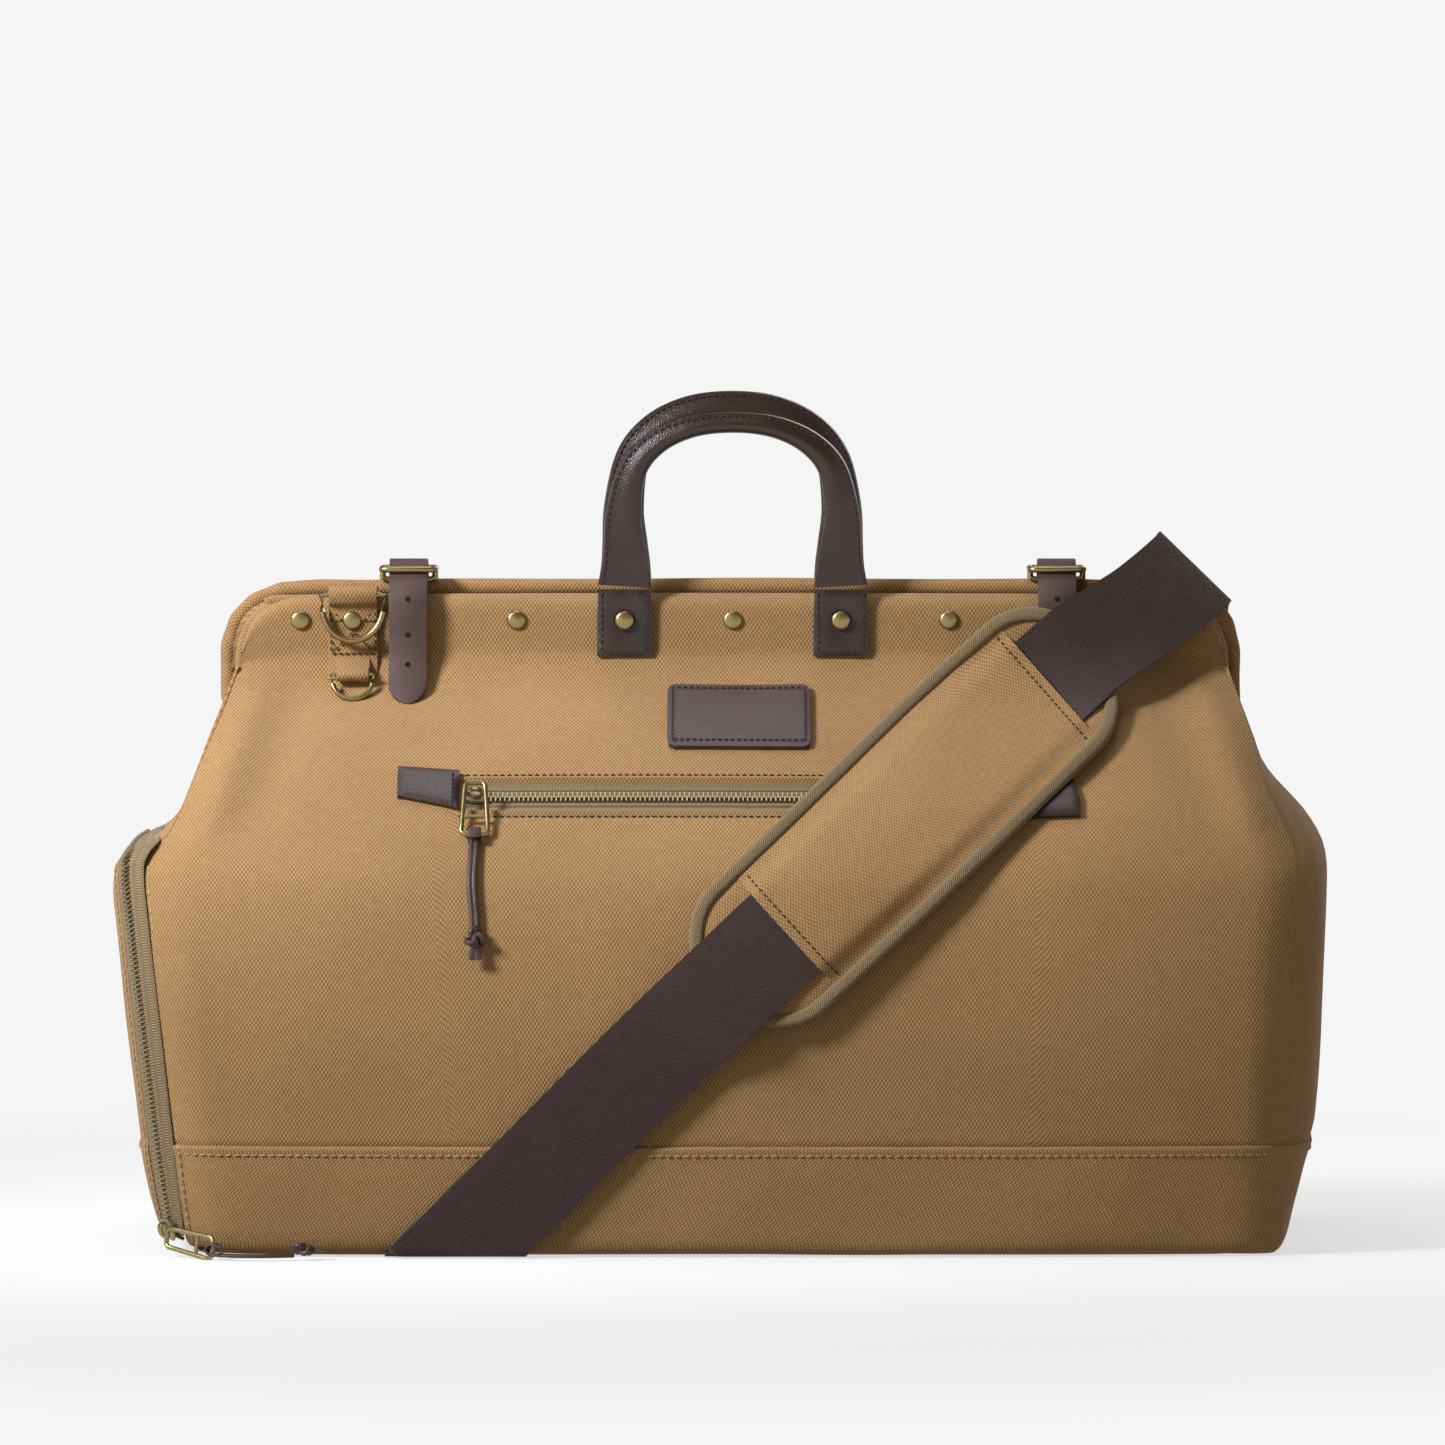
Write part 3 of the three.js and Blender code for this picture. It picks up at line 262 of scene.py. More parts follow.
def build(name, points, faces, uvs, material):
    """A mesh object of points in millimetres; uvs are per point, in millimetres."""
    mesh = bpy.data.meshes.new(name)
    mesh.from_pydata([tuple(p * MM) for p in points], [], faces)
    if uvs:
        layer = mesh.uv_layers.new(name="UVMap")
        for loop in mesh.loops:
            u, v = uvs[loop.vertex_index]
            layer.data[loop.index].uv = (u * MM, v * MM)
    mesh.materials.append(MATERIALS[material])
    mesh.validate()
    obj = bpy.data.objects.new(name, mesh)
    bpy.context.scene.collection.objects.link(obj)
    for polygon in mesh.polygons:
        polygon.use_smooth = True
    mesh.set_sharp_from_angle(angle=math.radians(42))
    return obj


def grid(name, at, nu, nv, thick, material, swap=False):
    """A thick sheet: at(u, v) is its outer face for u and v from 0 to 1; normals follow du x dv."""
    outer = [[at(i / nu, j / nv) for i in range(nu + 1)] for j in range(nv + 1)]
    normals = []
    for j in range(nv + 1):
        for i in range(nu + 1):
            du = outer[j][min(i + 1, nu)] - outer[j][max(i - 1, 0)]
            dv = outer[min(j + 1, nv)][i] - outer[max(j - 1, 0)][i]
            normals.append(du.cross(dv).normalized())
    flat = [p for row in outer for p in row]
    uvs = [[0.0, 0.0] for _ in flat]
    wide = nu + 1
    middle_row, middle_col = nv // 2, nu // 2
    for j in range(nv + 1):
        for i in range(1, nu + 1):
            k = j * wide + i
            uvs[k][0] = uvs[k - 1][0] + (flat[k] - flat[k - 1]).length
        centre = uvs[j * wide + middle_col][0]
        for i in range(nu + 1):
            uvs[j * wide + i][0] -= centre
    for i in range(nu + 1):
        for j in range(1, nv + 1):
            k = j * wide + i
            uvs[k][1] = uvs[k - wide][1] + (flat[k] - flat[k - wide]).length
        centre = uvs[middle_row * wide + i][1]
        for j in range(nv + 1):
            uvs[j * wide + i][1] -= centre
    if swap:
        uvs = [[v, u] for u, v in uvs]
    faces = []
    other = len(flat)
    for j in range(nv):
        for i in range(nu):
            a = j * wide + i
            faces.append((a, a + 1, a + wide + 1, a + wide))
            faces.append((other + a, other + a + wide, other + a + wide + 1, other + a + 1))
    for i in range(nu):
        top = nv * wide + i
        faces.append((i, other + i, other + i + 1, i + 1))
        faces.append((top, top + 1, other + top + 1, other + top))
    for j in range(nv):
        left, right = j * wide, j * wide + nu
        faces.append((left, left + wide, other + left + wide, other + left))
        faces.append((right, other + right, other + right + wide, right + wide))
    inner = [p - n * thick for p, n in zip(flat, normals)]
    return build(name, flat + inner, faces, uvs + uvs, material)


def spline(points, steps):
    """Catmull-Rom points through a given list, `steps` to a span."""
    last = len(points) - 1
    result = []
    for k in range(last):
        p = [points[min(max(k + d, 0), last)] for d in (-1, 0, 1, 2)]
        for s in range(steps):
            t = s / steps
            a = p[1] * 2 + (p[2] - p[0]) * t
            b = (p[0] * 2 - p[1] * 5 + p[2] * 4 - p[3]) * t * t
            c = (p[1] * 3 - p[0] - p[2] * 3 + p[3]) * t * t * t
            result.append((a + b + c) * 0.5)
    return result + [points[-1].copy()]


def stations(path, side, loop=False):
    """Place, across, normal and tangent at each point of a path; side(share) is the wanted way across."""
    result = []
    count = len(path)
    for k, p in enumerate(path):
        after = path[(k + 1) % count] if loop else path[min(k + 1, count - 1)]
        before = path[k - 1] if loop or k else path[0]
        tangent = (after - before).normalized()
        across = side(k / max(count - 1, 1))
        across = (across - tangent * across.dot(tangent)).normalized()
        result.append((p, across, tangent.cross(across), tangent))
    return result


def ring_faces(rings, sides, base=0, loop=False):
    """Quads between neighbouring rings of points, and two end caps unless the rings close in a loop."""
    faces = []
    for j in range(rings if loop else rings - 1):
        here, there = base + j * sides, base + ((j + 1) % rings) * sides
        for i in range(sides):
            k = (i + 1) % sides
            faces.append((here + i, here + k, there + k, there + i))
    if not loop:
        faces.append(tuple(base + i for i in reversed(range(sides))))
        faces.append(tuple(base + (rings - 1) * sides + i for i in range(sides)))
    return faces


def sweep(name, frames, outline, material, loop=False, swap=False):
    """Sweeps a closed outline(share) of (across, normal) pairs along stations()."""
    points, uvs = [], []
    total = len(frames)
    travelled = 0.0
    for k, (p, a, b, _) in enumerate(frames):
        ring = outline(k / max(total - 1, 1))
        travelled += (p - frames[k - 1][0]).length if k else 0.0
        girth = 0.0
        for i, (x, y) in enumerate(ring):
            if i:
                girth += math.hypot(x - ring[i - 1][0], y - ring[i - 1][1])
            points.append(p + a * x + b * y)
            uvs.append((girth, travelled) if swap else (travelled, girth))
    obj = build(name, points, ring_faces(total, len(ring), loop=loop), uvs, material)
    fix_normals(obj)
    return obj


def fix_normals(obj):
    mesh = bmesh.new()
    mesh.from_mesh(obj.data)
    bmesh.ops.recalc_face_normals(mesh, faces=mesh.faces)
    mesh.to_mesh(obj.data)
    mesh.free()


def circle(radius, sides):
    return [(radius * math.cos(2 * math.pi * i / sides), radius * math.sin(2 * math.pi * i / sides))
            for i in range(sides)]


def rounded(width, thick, radius, steps=2):
    """A rectangle with round corners, as an outline."""
    points = []
    for quarter, (sx, sy) in enumerate(((1, 1), (-1, 1), (-1, -1), (1, -1))):
        for s in range(steps + 1):
            angle = math.pi / 2 * (quarter + s / steps)
            points.append((sx * (width / 2 - radius) + radius * math.cos(angle),
                           sy * (thick / 2 - radius) + radius * math.sin(angle)))
    return points


def wire(name, path, radius, material="brass", loop=False, side=Y, sides=12):
    return sweep(name, stations(path, lambda _: side, loop), lambda _: circle(radius, sides), material, loop)


def band(name, points, width, thick, material, side=X, steps=6, swap=True, radius=0.5):
    """A flat strap of even width along a spline."""
    frames = stations(spline(points, steps), lambda _: side)
    return sweep(name, frames, lambda _: rounded(width, thick, radius), material, swap=swap)


def at_x(x, pairs):
    """Points at one x, from (y, z) pairs."""
    return [V((x, y, z)) for y, z in pairs]


def straight(centre, y, start, end, steps):
    """Points at one y from one (x, z) to another, with x counted from a centre."""
    (xa, za), (xb, zb) = start, end
    return [V((centre + xa + (xb - xa) * k / steps, y, za + (zb - za) * k / steps)) for k in range(steps + 1)]


def merge(name, objects):
    """Joins separate objects into one, keeping their materials."""
    bpy.ops.object.select_all(action="DESELECT")
    for obj in objects:
        obj.select_set(True)
    bpy.context.view_layer.objects.active = objects[0]
    bpy.ops.object.join()
    objects[0].name = name
    return objects[0]


def thread_row(name, path, up, material="tan_thread", stitch=3.0, gap=1.3, thick=0.75):
    """A row of stitches along a path; up(point) is the way off the cloth there."""
    lengths = [0.0]
    for a, b in zip(path, path[1:]):
        lengths.append(lengths[-1] + (b - a).length)
    total = lengths[-1]

    def place(s):
        k = next((i for i in range(1, len(path)) if lengths[i] >= s), len(path) - 1)
        span = lengths[k] - lengths[k - 1] or 1.0
        return path[k - 1].lerp(path[k], (s - lengths[k - 1]) / span)

    points, faces = [], []
    sides = 5
    shape = [(0.0, -0.35, 0.55), (0.2, 0.3, 1.0), (0.8, 0.3, 1.0), (1.0, -0.35, 0.55)]
    count = max(int(total / (stitch + gap)), 1)
    for c in range(count):
        start = (c + 0.5) * total / count - stitch / 2
        base = len(points)
        for share, lift, size in shape:
            p = place(min(max(start + share * stitch, 0), total))
            q = place(min(max(start + share * stitch + 0.1, 0.1), total))
            tangent = (q - p).normalized() if (q - p).length > 1e-6 else X
            off = up(p)
            across = tangent.cross(off).normalized()
            for i in range(sides):
                angle = 2 * math.pi * i / sides
                ring = across * math.cos(angle) + off * math.sin(angle)
                points.append(p + off * lift * thick + ring * (thick / 2 * size))
        faces += ring_faces(len(shape), sides, base)
    return build(name, points, faces, None, material)


def ride(obj, body, *nodes):
    if nodes:
        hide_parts(*nodes)
    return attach(obj, body)


def make_camera():
    target = V((-5.1, -130, 262.9)) * MM
    tilt = math.radians(2.5)
    distance = 6.0
    data = bpy.data.cameras.new("camera")
    camera = bpy.data.objects.new("camera", data)
    bpy.context.scene.collection.objects.link(camera)
    camera.location = target + V((0, -math.cos(tilt), math.sin(tilt))) * distance
    camera.rotation_euler = (target - camera.location).to_track_quat("-Z", "Y").to_euler()
    data.sensor_width = 36
    data.lens = 305.0
    data.dof.use_dof = False
    scene = bpy.context.scene
    scene.camera = camera
    scene.render.resolution_x = scene.render.resolution_y = 1445
    scene.view_settings.view_transform = "Standard"


make_camera()


# ---------- shape of the bag ----------
DEPTH = ((0, 128), (52, 134), (120, 138), (180, 128), (210, 108), (240, 75), (262, 45), (276, 25), (290, 14.6),
         (302, 13.6), (321, 13.0))
LEFT_EDGE = ((0, 269), (54, 275), (110, 281), (160, 287), (190, 290), (198, 287), (206, 279), (213, 275), (225, 270),
             (250, 261), (284, 249), (300, 246), (322, 245))
RIGHT_EDGE = ((0, 268), (54, 271), (125, 274), (175, 277), (196, 277), (212, 271), (222, 266), (238, 260), (250, 258),
              (284, 248), (300, 245), (322, 244.5))
BAND_TOP = 54
ZIP_Z = 225
ZIP_LEFT, ZIP_RIGHT = -134, 144
RIGHT_BELLY = ((0, 5), (20, 8), (37, 12), (54, 16), (66, 18.5), (125, 19.5), (200, 17.5), (218, 14), (234, 6),
               (248, 2), (284, 0))
GUSSET_BELLY = ((203, 5), (215, 1), (240, -3), (284, -2))


def edge(x, z):
    return along(LEFT_EDGE if x < 0 else RIGHT_EDGE, z)


def drop(z):
    return along(((200, 10), (284, 0)), z)


def face_depth(x, z):
    """Distance of the cloth from the mid-plane: full in the middle and rounded off at the ends."""
    share = min(abs(x) / edge(x, z), 1.0)
    turn = max(share - 0.92, 0) ** 2 / 0.0064 * along(((200, 8.0), (260, 3.0), (290, 0.5)), z)
    return along(DEPTH, z) - drop(z) * share ** 4 - turn


def relief(x, z, face):
    """Slack, puckers and seams of the cloth, outwards in millimetres."""
    seed = 1 if face < 0 else 5
    slack = 1.5 * ripple(x * 0.55, z, 85, seed) * ease(300, 262, z) * ease(54, 90, z)
    pull = 0.8 * ripple(x, z * 0.35, 26, seed + 1) * ease(236, 276, z) * ease(300, 284, z)
    low = 0.7 * ripple(x, z * 0.5, 42, seed + 2) * ease(120, 60, z)
    folds = 0.0
    for side in (-1, 1):
        # a soft fold runs from each leg of the frame down to the corner
        line = 235 + (278 - z) * 0.33
        folds += 2.4 * math.exp(-((side * x - line) / 11) ** 2) * ease(196, 222, z) * ease(288, 262, z)
        folds -= 1.8 * math.exp(-((side * x - line + 20) / 14) ** 2) * ease(190, 222, z) * ease(288, 262, z)
    seam = -0.9 * math.exp(-((z - BAND_TOP) / 1.6) ** 2)
    return slack + pull + low + folds + seam


def pocket_relief(x, z):
    """The zip mouth: two folded lips over a slot, with sewn channels on both sides."""
    inside = ease(ZIP_LEFT - 3, ZIP_LEFT + 1, x) * ease(ZIP_RIGHT + 3, ZIP_RIGHT - 1, x)
    away = abs(z - ZIP_Z)
    slot = -2.6 * ease(7.2, 6.0, away)
    lip = 1.4 * math.exp(-((away - 7.6) / 1.3) ** 2)
    channel = -0.5 * math.exp(-((away - 9.6) / 0.9) ** 2)
    return (slot + lip + channel) * inside


def on_face(face, x, z, out=0.0):
    """A point `out` proud of the dressed cloth on the front (-1) or back (1)."""
    bumps = relief(x, z, face) + (pocket_relief(x, z) if face < 0 else 0.0)
    slope = (face_depth(x, z + 2) - face_depth(x, z - 2)) / 4
    scale = (out + bumps) / math.hypot(1, slope)
    return V((x, face * (face_depth(x, z) + scale), z - slope * scale))


def face_out(face, x, z):
    """The way off the cloth."""
    slope = (face_depth(x, z + 2) - face_depth(x, z - 2)) / 4
    return V((0, face, -slope)).normalized()


def face_up(face, x, z):
    return (on_face(face, x, z + 3) - on_face(face, x, z - 3)).normalized()


# Heights of the rows of the big panels: close together where a seam or the zip needs them.
def heights(face):
    rows = [BAND_TOP + 0.2, 55, 56, 57.5, 60, 64] + [64 + 5.5 * k for k in range(1, 25)]
    if face < 0:
        rows += [200, 204, 208, 211, 213, 214.4, 215.4, 216.4, 217.4, 218.4, 219.2, 220.5, 223, 225, 227,
                 229.5, 230.8, 231.6, 232.6, 233.6, 234.6, 235.6, 237, 240, 244]
        rows += [246.5 + 2.4 * k for k in range(20)]
    else:
        rows += [200 + 4.4 * k for k in range(11)]
    rows += [244 + 3.5 * k for k in range(1, 14)] + [292, 296, 300, 304, 308]
    return sorted(set(rows))


def columns():
    shares = [-1 + k / 46 for k in range(93)]
    for x in (ZIP_LEFT, ZIP_RIGHT):
        shares += [(x + d) / 272 for d in (-4, -2, 0, 2, 4)]
    for end in (0.93, 0.95, 0.97, 0.985, 0.993):
        shares += [end, -end]
    return sorted(set(round(share, 4) for share in shares))


# Height of the crest along x: level, then round the corner of the frame.
CRESTS = {
    -1: ((0, 321.2), (206, 321.2), (222, 319.8), (233, 315.5), (240.5, 308), (245.5, 295)),
    1: ((0, 325.5), (206, 325), (226, 323), (239, 316.5), (246.5, 308), (250.5, 295)),
}
CREST_FOOT = 282
# The cloth's last rows, over and round the frame bar, as (y, z).
ROLLS = {
    -1: [(13.3, 311.5), (13.0, 315), (12.0, 318), (10.0, 320.4), (7.2, 321.3), (4.6, 320.2), (3.0, 317.6),
         (2.4, 312), (2.2, 300), (2.2, 290)],
    1: [(13.3, 312), (13.2, 316), (12.8, 319.5), (11.6, 322.6), (9.4, 324.8), (7.0, 325.5), (4.6, 324.4),
        (3.0, 321.6), (2.4, 315), (2.2, 304), (2.2, 290)],
}


def make_face(face):
    """One piece of canvas from the band seam up the wall, over the shoulder and round the frame bar."""
    rows = heights(face) + ROLLS[face]
    shares = [face * -share for share in columns()] if face > 0 else columns()
    nu, nv = len(shares) - 1, len(rows) - 1

    def at(u, v):
        share, row = shares[round(u * nu)], rows[round(v * nv)]
        y, z = row if isinstance(row, tuple) else (None, row)
        x = share * (edge(share, z) + (5.0 * ease(262, 290, z) if face > 0 else 0.0))
        p = on_face(face, x, z) if y is None else V((x, face * y, z))
        if z > CREST_FOOT:
            squeeze = (along(CRESTS[face], abs(x)) - CREST_FOOT) / (CRESTS[face][0][1] - CREST_FOOT)
            p.z = CREST_FOOT + (p.z - CREST_FOOT) * squeeze
        return p

    side = "front" if face < 0 else "back"
    obj = grid(f"{side}_canvas", at, nu, nv, 1.5, "canvas")
    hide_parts(f"{side}_panel", f"{side}_shoulder_canvas", f"{side}_hem")
    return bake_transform(obj)


def end_point(side, y, z):
    """The right end, or the upper left end above the shoe compartment."""
    half = face_depth(side * edge(side, z), z)
    share = max(-1.0, min(1.0, y / half))
    inset = (1 - abs(share)) * half
    belly = along(RIGHT_BELLY if side > 0 else GUSSET_BELLY, z)
    belly *= 0.8 * (1 - math.exp(-inset / 10)) + 0.2 * (1 - share * share)
    fold = -6.0 * math.exp(-(y / 9) ** 2) * ease(212, 262, z)
    slack = 2.0 * ripple(y, z * 0.6, 48, 9 + side) * (1 - share ** 4) * ease(54, 80, z)
    return V((side * (edge(side, z) + belly + fold + slack), y, z))


def make_end(side, low, rows):
    """Two pieces meet in the middle of the end."""
    name = "right" if side > 0 else "left"
    for half, part in ((-1, "front"), (1, "back")):
        def at(u, v):
            z = low + (286 - low) * v
            share = (u if side > 0 else 1 - u) + (-1 if half < 0 else 0)
            return end_point(side, share * face_depth(side * edge(side, z), z), z)

        obj = grid(f"{name}_end_{part}", at, 18, rows, 1.4, "canvas")
        if half < 0:
            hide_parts(*(("right_end_panel", "right_gusset") if side > 0 else ("left_gusset",)))
        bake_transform(obj)


def make_pleats():
    """The inner fold of each end, which fills the gap that opens above the hinge."""
    for name, side in (("left", -1), ("right", 1)):
        def at(u, v):
            z = 232 + 40 * v
            y = side * (-20 + 40 * u) * (1 - 0.55 * v)
            return V((side * (edge(side, z) - 8.0 + 2.5 * math.cos(y * 0.45)), y, z))

        ride(grid(f"{name}_pleat", at, 14, 10, 1.2, "canvas"), "root")


# ---------- base ----------
def wall_point(t, z):
    """A point of the wall near the floor: t runs 0-1 along the front, 1-2 the right end, 2-3 the back, 3-4 the left."""
    side, share = int(t) % 4, t - int(t)
    left, right = edge(-1, z), edge(1, z)
    if side in (0, 2):
        x = -left + (left + right) * (share if side == 0 else 1 - share)
        return V((x, (side - 1) * face_depth(x, z), z))
    sign = 1 if side == 1 else -1
    half = face_depth(sign * edge(sign, z), z)
    spread = (2 * share - 1) * sign
    inset = (1 - abs(spread)) * half
    belly = along(RIGHT_BELLY, z) if sign > 0 else 4.0
    belly *= 0.8 * (1 - math.exp(-inset / 10)) + 0.2 * (1 - spread * spread)
    return V((sign * (edge(sign, z) + belly), spread * half, z))


def make_band():
    """The base band: front, right end and back, rolled under at the floor."""
    profile = [(-9, 1.0), (-5.5, 0.7), (-2.6, 1.4), (-0.8, 3.2), (0.0, 6.5), (0.3, 10)]
    profile += [(0.3 + 0.08 * k, 10 + 4.3 * k) for k in range(1, 10)]
    profile += [(1.1, 50.8), (1.4, 52.6), (1.5, 53.8), (1.0, 54.8), (-0.9, 55.2)]

    def at(u, v):
        t = min(max(3 * u, 0.0004), 2.9996)
        push, z = profile[round(v * (len(profile) - 1))]
        p = wall_point(t, z)
        ahead = wall_point(min(t + 0.004, 2.9999), z) - wall_point(max(t - 0.004, 0), z)
        out = ahead.cross(Z).normalized()
        from_corner = min(abs(t - 1), abs(t - 2))
        slack = 1.0 * ripple(p.x + p.y * 1.3, z * 0.8, 42, 21) * ease(2, 14, z) * ease(54, 38, z)
        pucker = 1.6 * ripple(p.x * 1.4, p.y, 20, 22) * math.exp(-from_corner * 18) * ease(40, 8, z)
        lift = 1.8 * (0.5 + 0.5 * ripple(p.x, p.y, 120, 23)) * ease(12, 0, z) * ease(0, 0.05, from_corner)
        lift += 2.5 * ease(-238, -268, p.x) * ease(44, 0, z)
        return p + out * (push + slack + pucker) + Z * (lift - 0.6)

    ride(grid("base_band_canvas", at, 180, len(profile) - 1, 1.5, "canvas"), "root", "base_band")


def make_base():
    sides = 96
    ring = [wall_point(4 * k / sides, 0) for k in range(sides)]
    rows = [(5.5, 2.3), (6.5, 1.2), (9, 0.6), (60, 0.5), (110, 0.5)]
    points, faces = [], []
    for shrink, z in rows:
        points += [V((p.x * (1 - shrink / p.length), p.y * (1 - shrink / p.length), z)) for p in ring]
    points.append(V((0, 0, 0.5)))
    for j in range(len(rows) - 1):
        for i in range(sides):
            a, b = j * sides + i, j * sides + (i + 1) % sides
            faces.append((b, a, a + sides, b + sides))
    last = (len(rows) - 1) * sides
    faces += [(last + (i + 1) % sides, last + i, len(points) - 1) for i in range(sides)]
    ride(build("base_canvas", points, faces, [(p.x, p.y) for p in points], "canvas"), "root", "base_panel")


def make_seam_rows():
    """Stitching round the band seam and along the pocket."""
    rows = []
    for face in (-1, 1):
        path = [V((x, face * (face_depth(x, 50) + 1.5), 50.2)) for x in range(-270, 266, 6)]
        rows.append(thread_row(f"band_stitch_{face + 1}", path, lambda p: Y * face))
    path = [wall_point(1.03 + 0.94 * k / 40, 50.2) + X * 1.5 for k in range(41)]
    rows.append(thread_row("band_stitch_end", path, lambda p: X))
    for z in (ZIP_Z - 9.7, ZIP_Z + 9.7):
        path = [on_face(-1, x, z, 0.4) for x in range(ZIP_LEFT - 2, ZIP_RIGHT + 3, 4)]
        rows.append(thread_row("pocket_stitch", path, lambda p: face_out(-1, p.x, p.z), "brown_thread", 2.2, 1.2))
    ride(merge("root_stitching", rows), "root")


# ---------- frame, rivets and rings ----------
def make_rolls():
    """The canvas rolls that edge both frame bars and turn down at the corners."""
    outline = [(-252, 268), (-252.5, 292), (-249, 306), (-241, 316), (-228, 322.2), (-212, 324.2), (-150, 324.8),
               (0, 325.2), (150, 324.8), (212, 324.2), (228, 322.2), (240, 316), (247, 306), (250, 292), (250, 268)]
    path = spline([V((x, 4.6 + 4.5 * ease(200, 250, abs(x)), z)) for x, z in outline], 7)
    frames = stations(path, lambda _: Y)

    def section(share):
        size = 4.3 + 0.25 * math.sin(share * 90)
        return [(a * size, b * size) for a, b in circle(1, 14)]

    ride(sweep("back_roll", frames, section, "canvas"), "back_frame")
    inner = [(-246, 276), (-245.5, 292), (-242.5, 303), (-236, 312), (-226, 317), (-212, 318.6), (0, 319.4),
             (212, 318.6), (226, 317), (236, 312), (241.5, 303), (244.5, 292), (245, 276)]
    path = spline([V((x, -5.6, z)) for x, z in inner], 7)
    ride(wire("front_roll", path, 3.0, "canvas"), "front_frame")
    for part, face in (("front", -1), ("back", 1)):
        half = [(240, 262), (240, 288), (238, 300), (231, 308.5), (219, 311.5), (120, 312)]
        bar = [(-x, z) for x, z in half] + [(0, 312)] + [(x, z) for x, z in reversed(half)]
        flat = band(f"{part}_bar_steel", [V((x, face * 7, z)) for x, z in bar], 6.0, 3.0, "frame_steel", Y,
                    swap=False, radius=0.7)
        ride(flat, f"{part}_frame", f"{part}_frame_bar")


RIVET_Z = 309
HANDLE_X, HANDLE_Y, HANDLE_Z = 54, 15.9, 326
RING_TAB_X = -189.5


def rivet_head(x, z, face, seat):
    """A brass cap with a flat top, a soft edge and a thin shadow rim."""
    radius = 4.7
    profile = [(radius - 0.6, 0), (radius + 0.15, 0.3), (radius, 1.0), (radius - 0.45, 1.6), (radius - 1.3, 2.0),
               (0.001, 2.15)]
    sides = 28
    points, faces = [], []
    for r, out in profile:
        for i in range(sides):
            angle = 2 * math.pi * i / sides
            points.append(V((x + r * math.cos(angle), face * (seat + out), z + r * math.sin(angle))))
    for j in range(len(profile) - 1):
        for i in range(sides):
            a, b = j * sides + i, j * sides + (i + 1) % sides
            faces.append((a, b, b + sides, a + sides))
    obj = build("rivet", points, faces, None, "brass")
    fix_normals(obj)
    return obj


def make_rivets():
    front = [(-216, 13.4), (-190, 16.6), (-162, 13.3), (-108, 13.3), (-54, 18.0), (0, 13.3), (54, 18.0),
             (108, 13.3), (162, 13.3), (216, 13.4)]
    caps = [rivet_head(x, RIVET_Z, -1, seat) for x, seat in front]
    ride(merge("front_rivet_caps", caps), "front_frame", "front_rivets")
    caps = [rivet_head(x, RIVET_Z, 1, 18.0 if abs(x) == HANDLE_X else 13.3) for x in range(-216, 217, 54)]
    ride(merge("back_rivet_caps", caps), "back_frame", "back_rivets")


def d_ring(name, x, y, z, width, depth, radius, lean):
    """A wire D: a straight bar at the top and a round bow below; lean is the way it hangs."""
    half = width / 2
    down = V((0, lean, -1)).normalized()
    shape = [(-half, 0)] + [(-half * math.cos(a), depth * math.sin(a) ** 0.8)
                            for a in (math.pi * k / 22 for k in range(2, 21))] + [(half, 0)]
    shape += [(half - width * k / 8, -0.6) for k in range(1, 8)]
    path = [V((x + a, y, z)) + down * b for a, b in shape]
    return wire(name, path, radius, loop=True, side=down, sides=14)


def make_ring_tab():
    x = RING_TAB_X
    tab = ((-9, 324.0), (-13, 324.6), (-15.6, 321.5), (-15.4, 312), (-15.6, 300), (-15.9, 291), (-19.5, 279.5))
    loop = ((-15, 324.4), (-18.9, 325.3), (-21.6, 322.6), (-20.4, 318.2), (-17.4, 316.0), (-16.6, 309))
    small = ((-18.6, 287), (-24.8, 284.7), (-27.9, 282.2), (-26.6, 279.8), (-22, 279.6))
    low = ((-17.0, 289.5), (-20.5, 286.6), (-24.6, 284.8))
    pieces = [band("fold", at_x(x, pairs), width, thick, "canvas") for pairs, width, thick in (
        (tab, 24.5, 2.0), (loop, 24.0, 1.6), (small, 16.0, 1.5), (low, 17.0, 1.5))]
    for start, end in (((-11, 314.5), (11, 314.5)), ((-11, 292.5), (11, 292.5)), ((-11, 314), (-11, 293)),
                       ((11, 314), (11, 293)), ((-9.5, 313), (9.5, 294)), ((9.5, 313), (-9.5, 294)),
                       ((-11, 324.0), (-11, 315)), ((11, 324.0), (11, 315))):
        path = straight(x, -17.25, start, end, 6)
        pieces.append(thread_row("box_x", path, lambda p: -Y, "brown_thread", 2.1, 1.0, 0.85))
    ride(merge("ring_tab_canvas", pieces), "front_frame", "ring_tab")
    ride(d_ring("large_ring", x, -19.6, 321.4, 31.5, 22.5, 1.65, -0.1), "large_d_ring", "large_d_ring")
    ride(d_ring("small_ring", x, -26.2, 281.8, 20.5, 12.5, 1.3, -0.45), "small_d_ring", "small_d_ring")


# ---------- handles ----------
HANDLE_LEG = ((-54, 0), (-53.6, 9), (-54, 18), (-54.5, 36), (-50, 58), (-38.5, 71.5), (-21, 79.5), (0, 81.8))


def handle_line(face, top):
    stretch = (top - 5.2 - HANDLE_Z) / HANDLE_LEG[-1][1]
    leg = [V((x, 0, HANDLE_Z + rise * stretch)) for x, rise in HANDLE_LEG]
    points = leg + [V((-p.x, 0, p.z)) for p in reversed(leg[:-1])]
    return [V((p.x, face * HANDLE_Y * (1 + 0.1 * (p.z - HANDLE_Z) / 90), p.z)) for p in points]


def handle_half(face, share):
    """Half the width of the strap, which narrows where it is folded into a grip."""
    roll = math.sin(math.pi * share) ** 0.8
    return 13.5 - (8.3 if face < 0 else 6.3) * roll


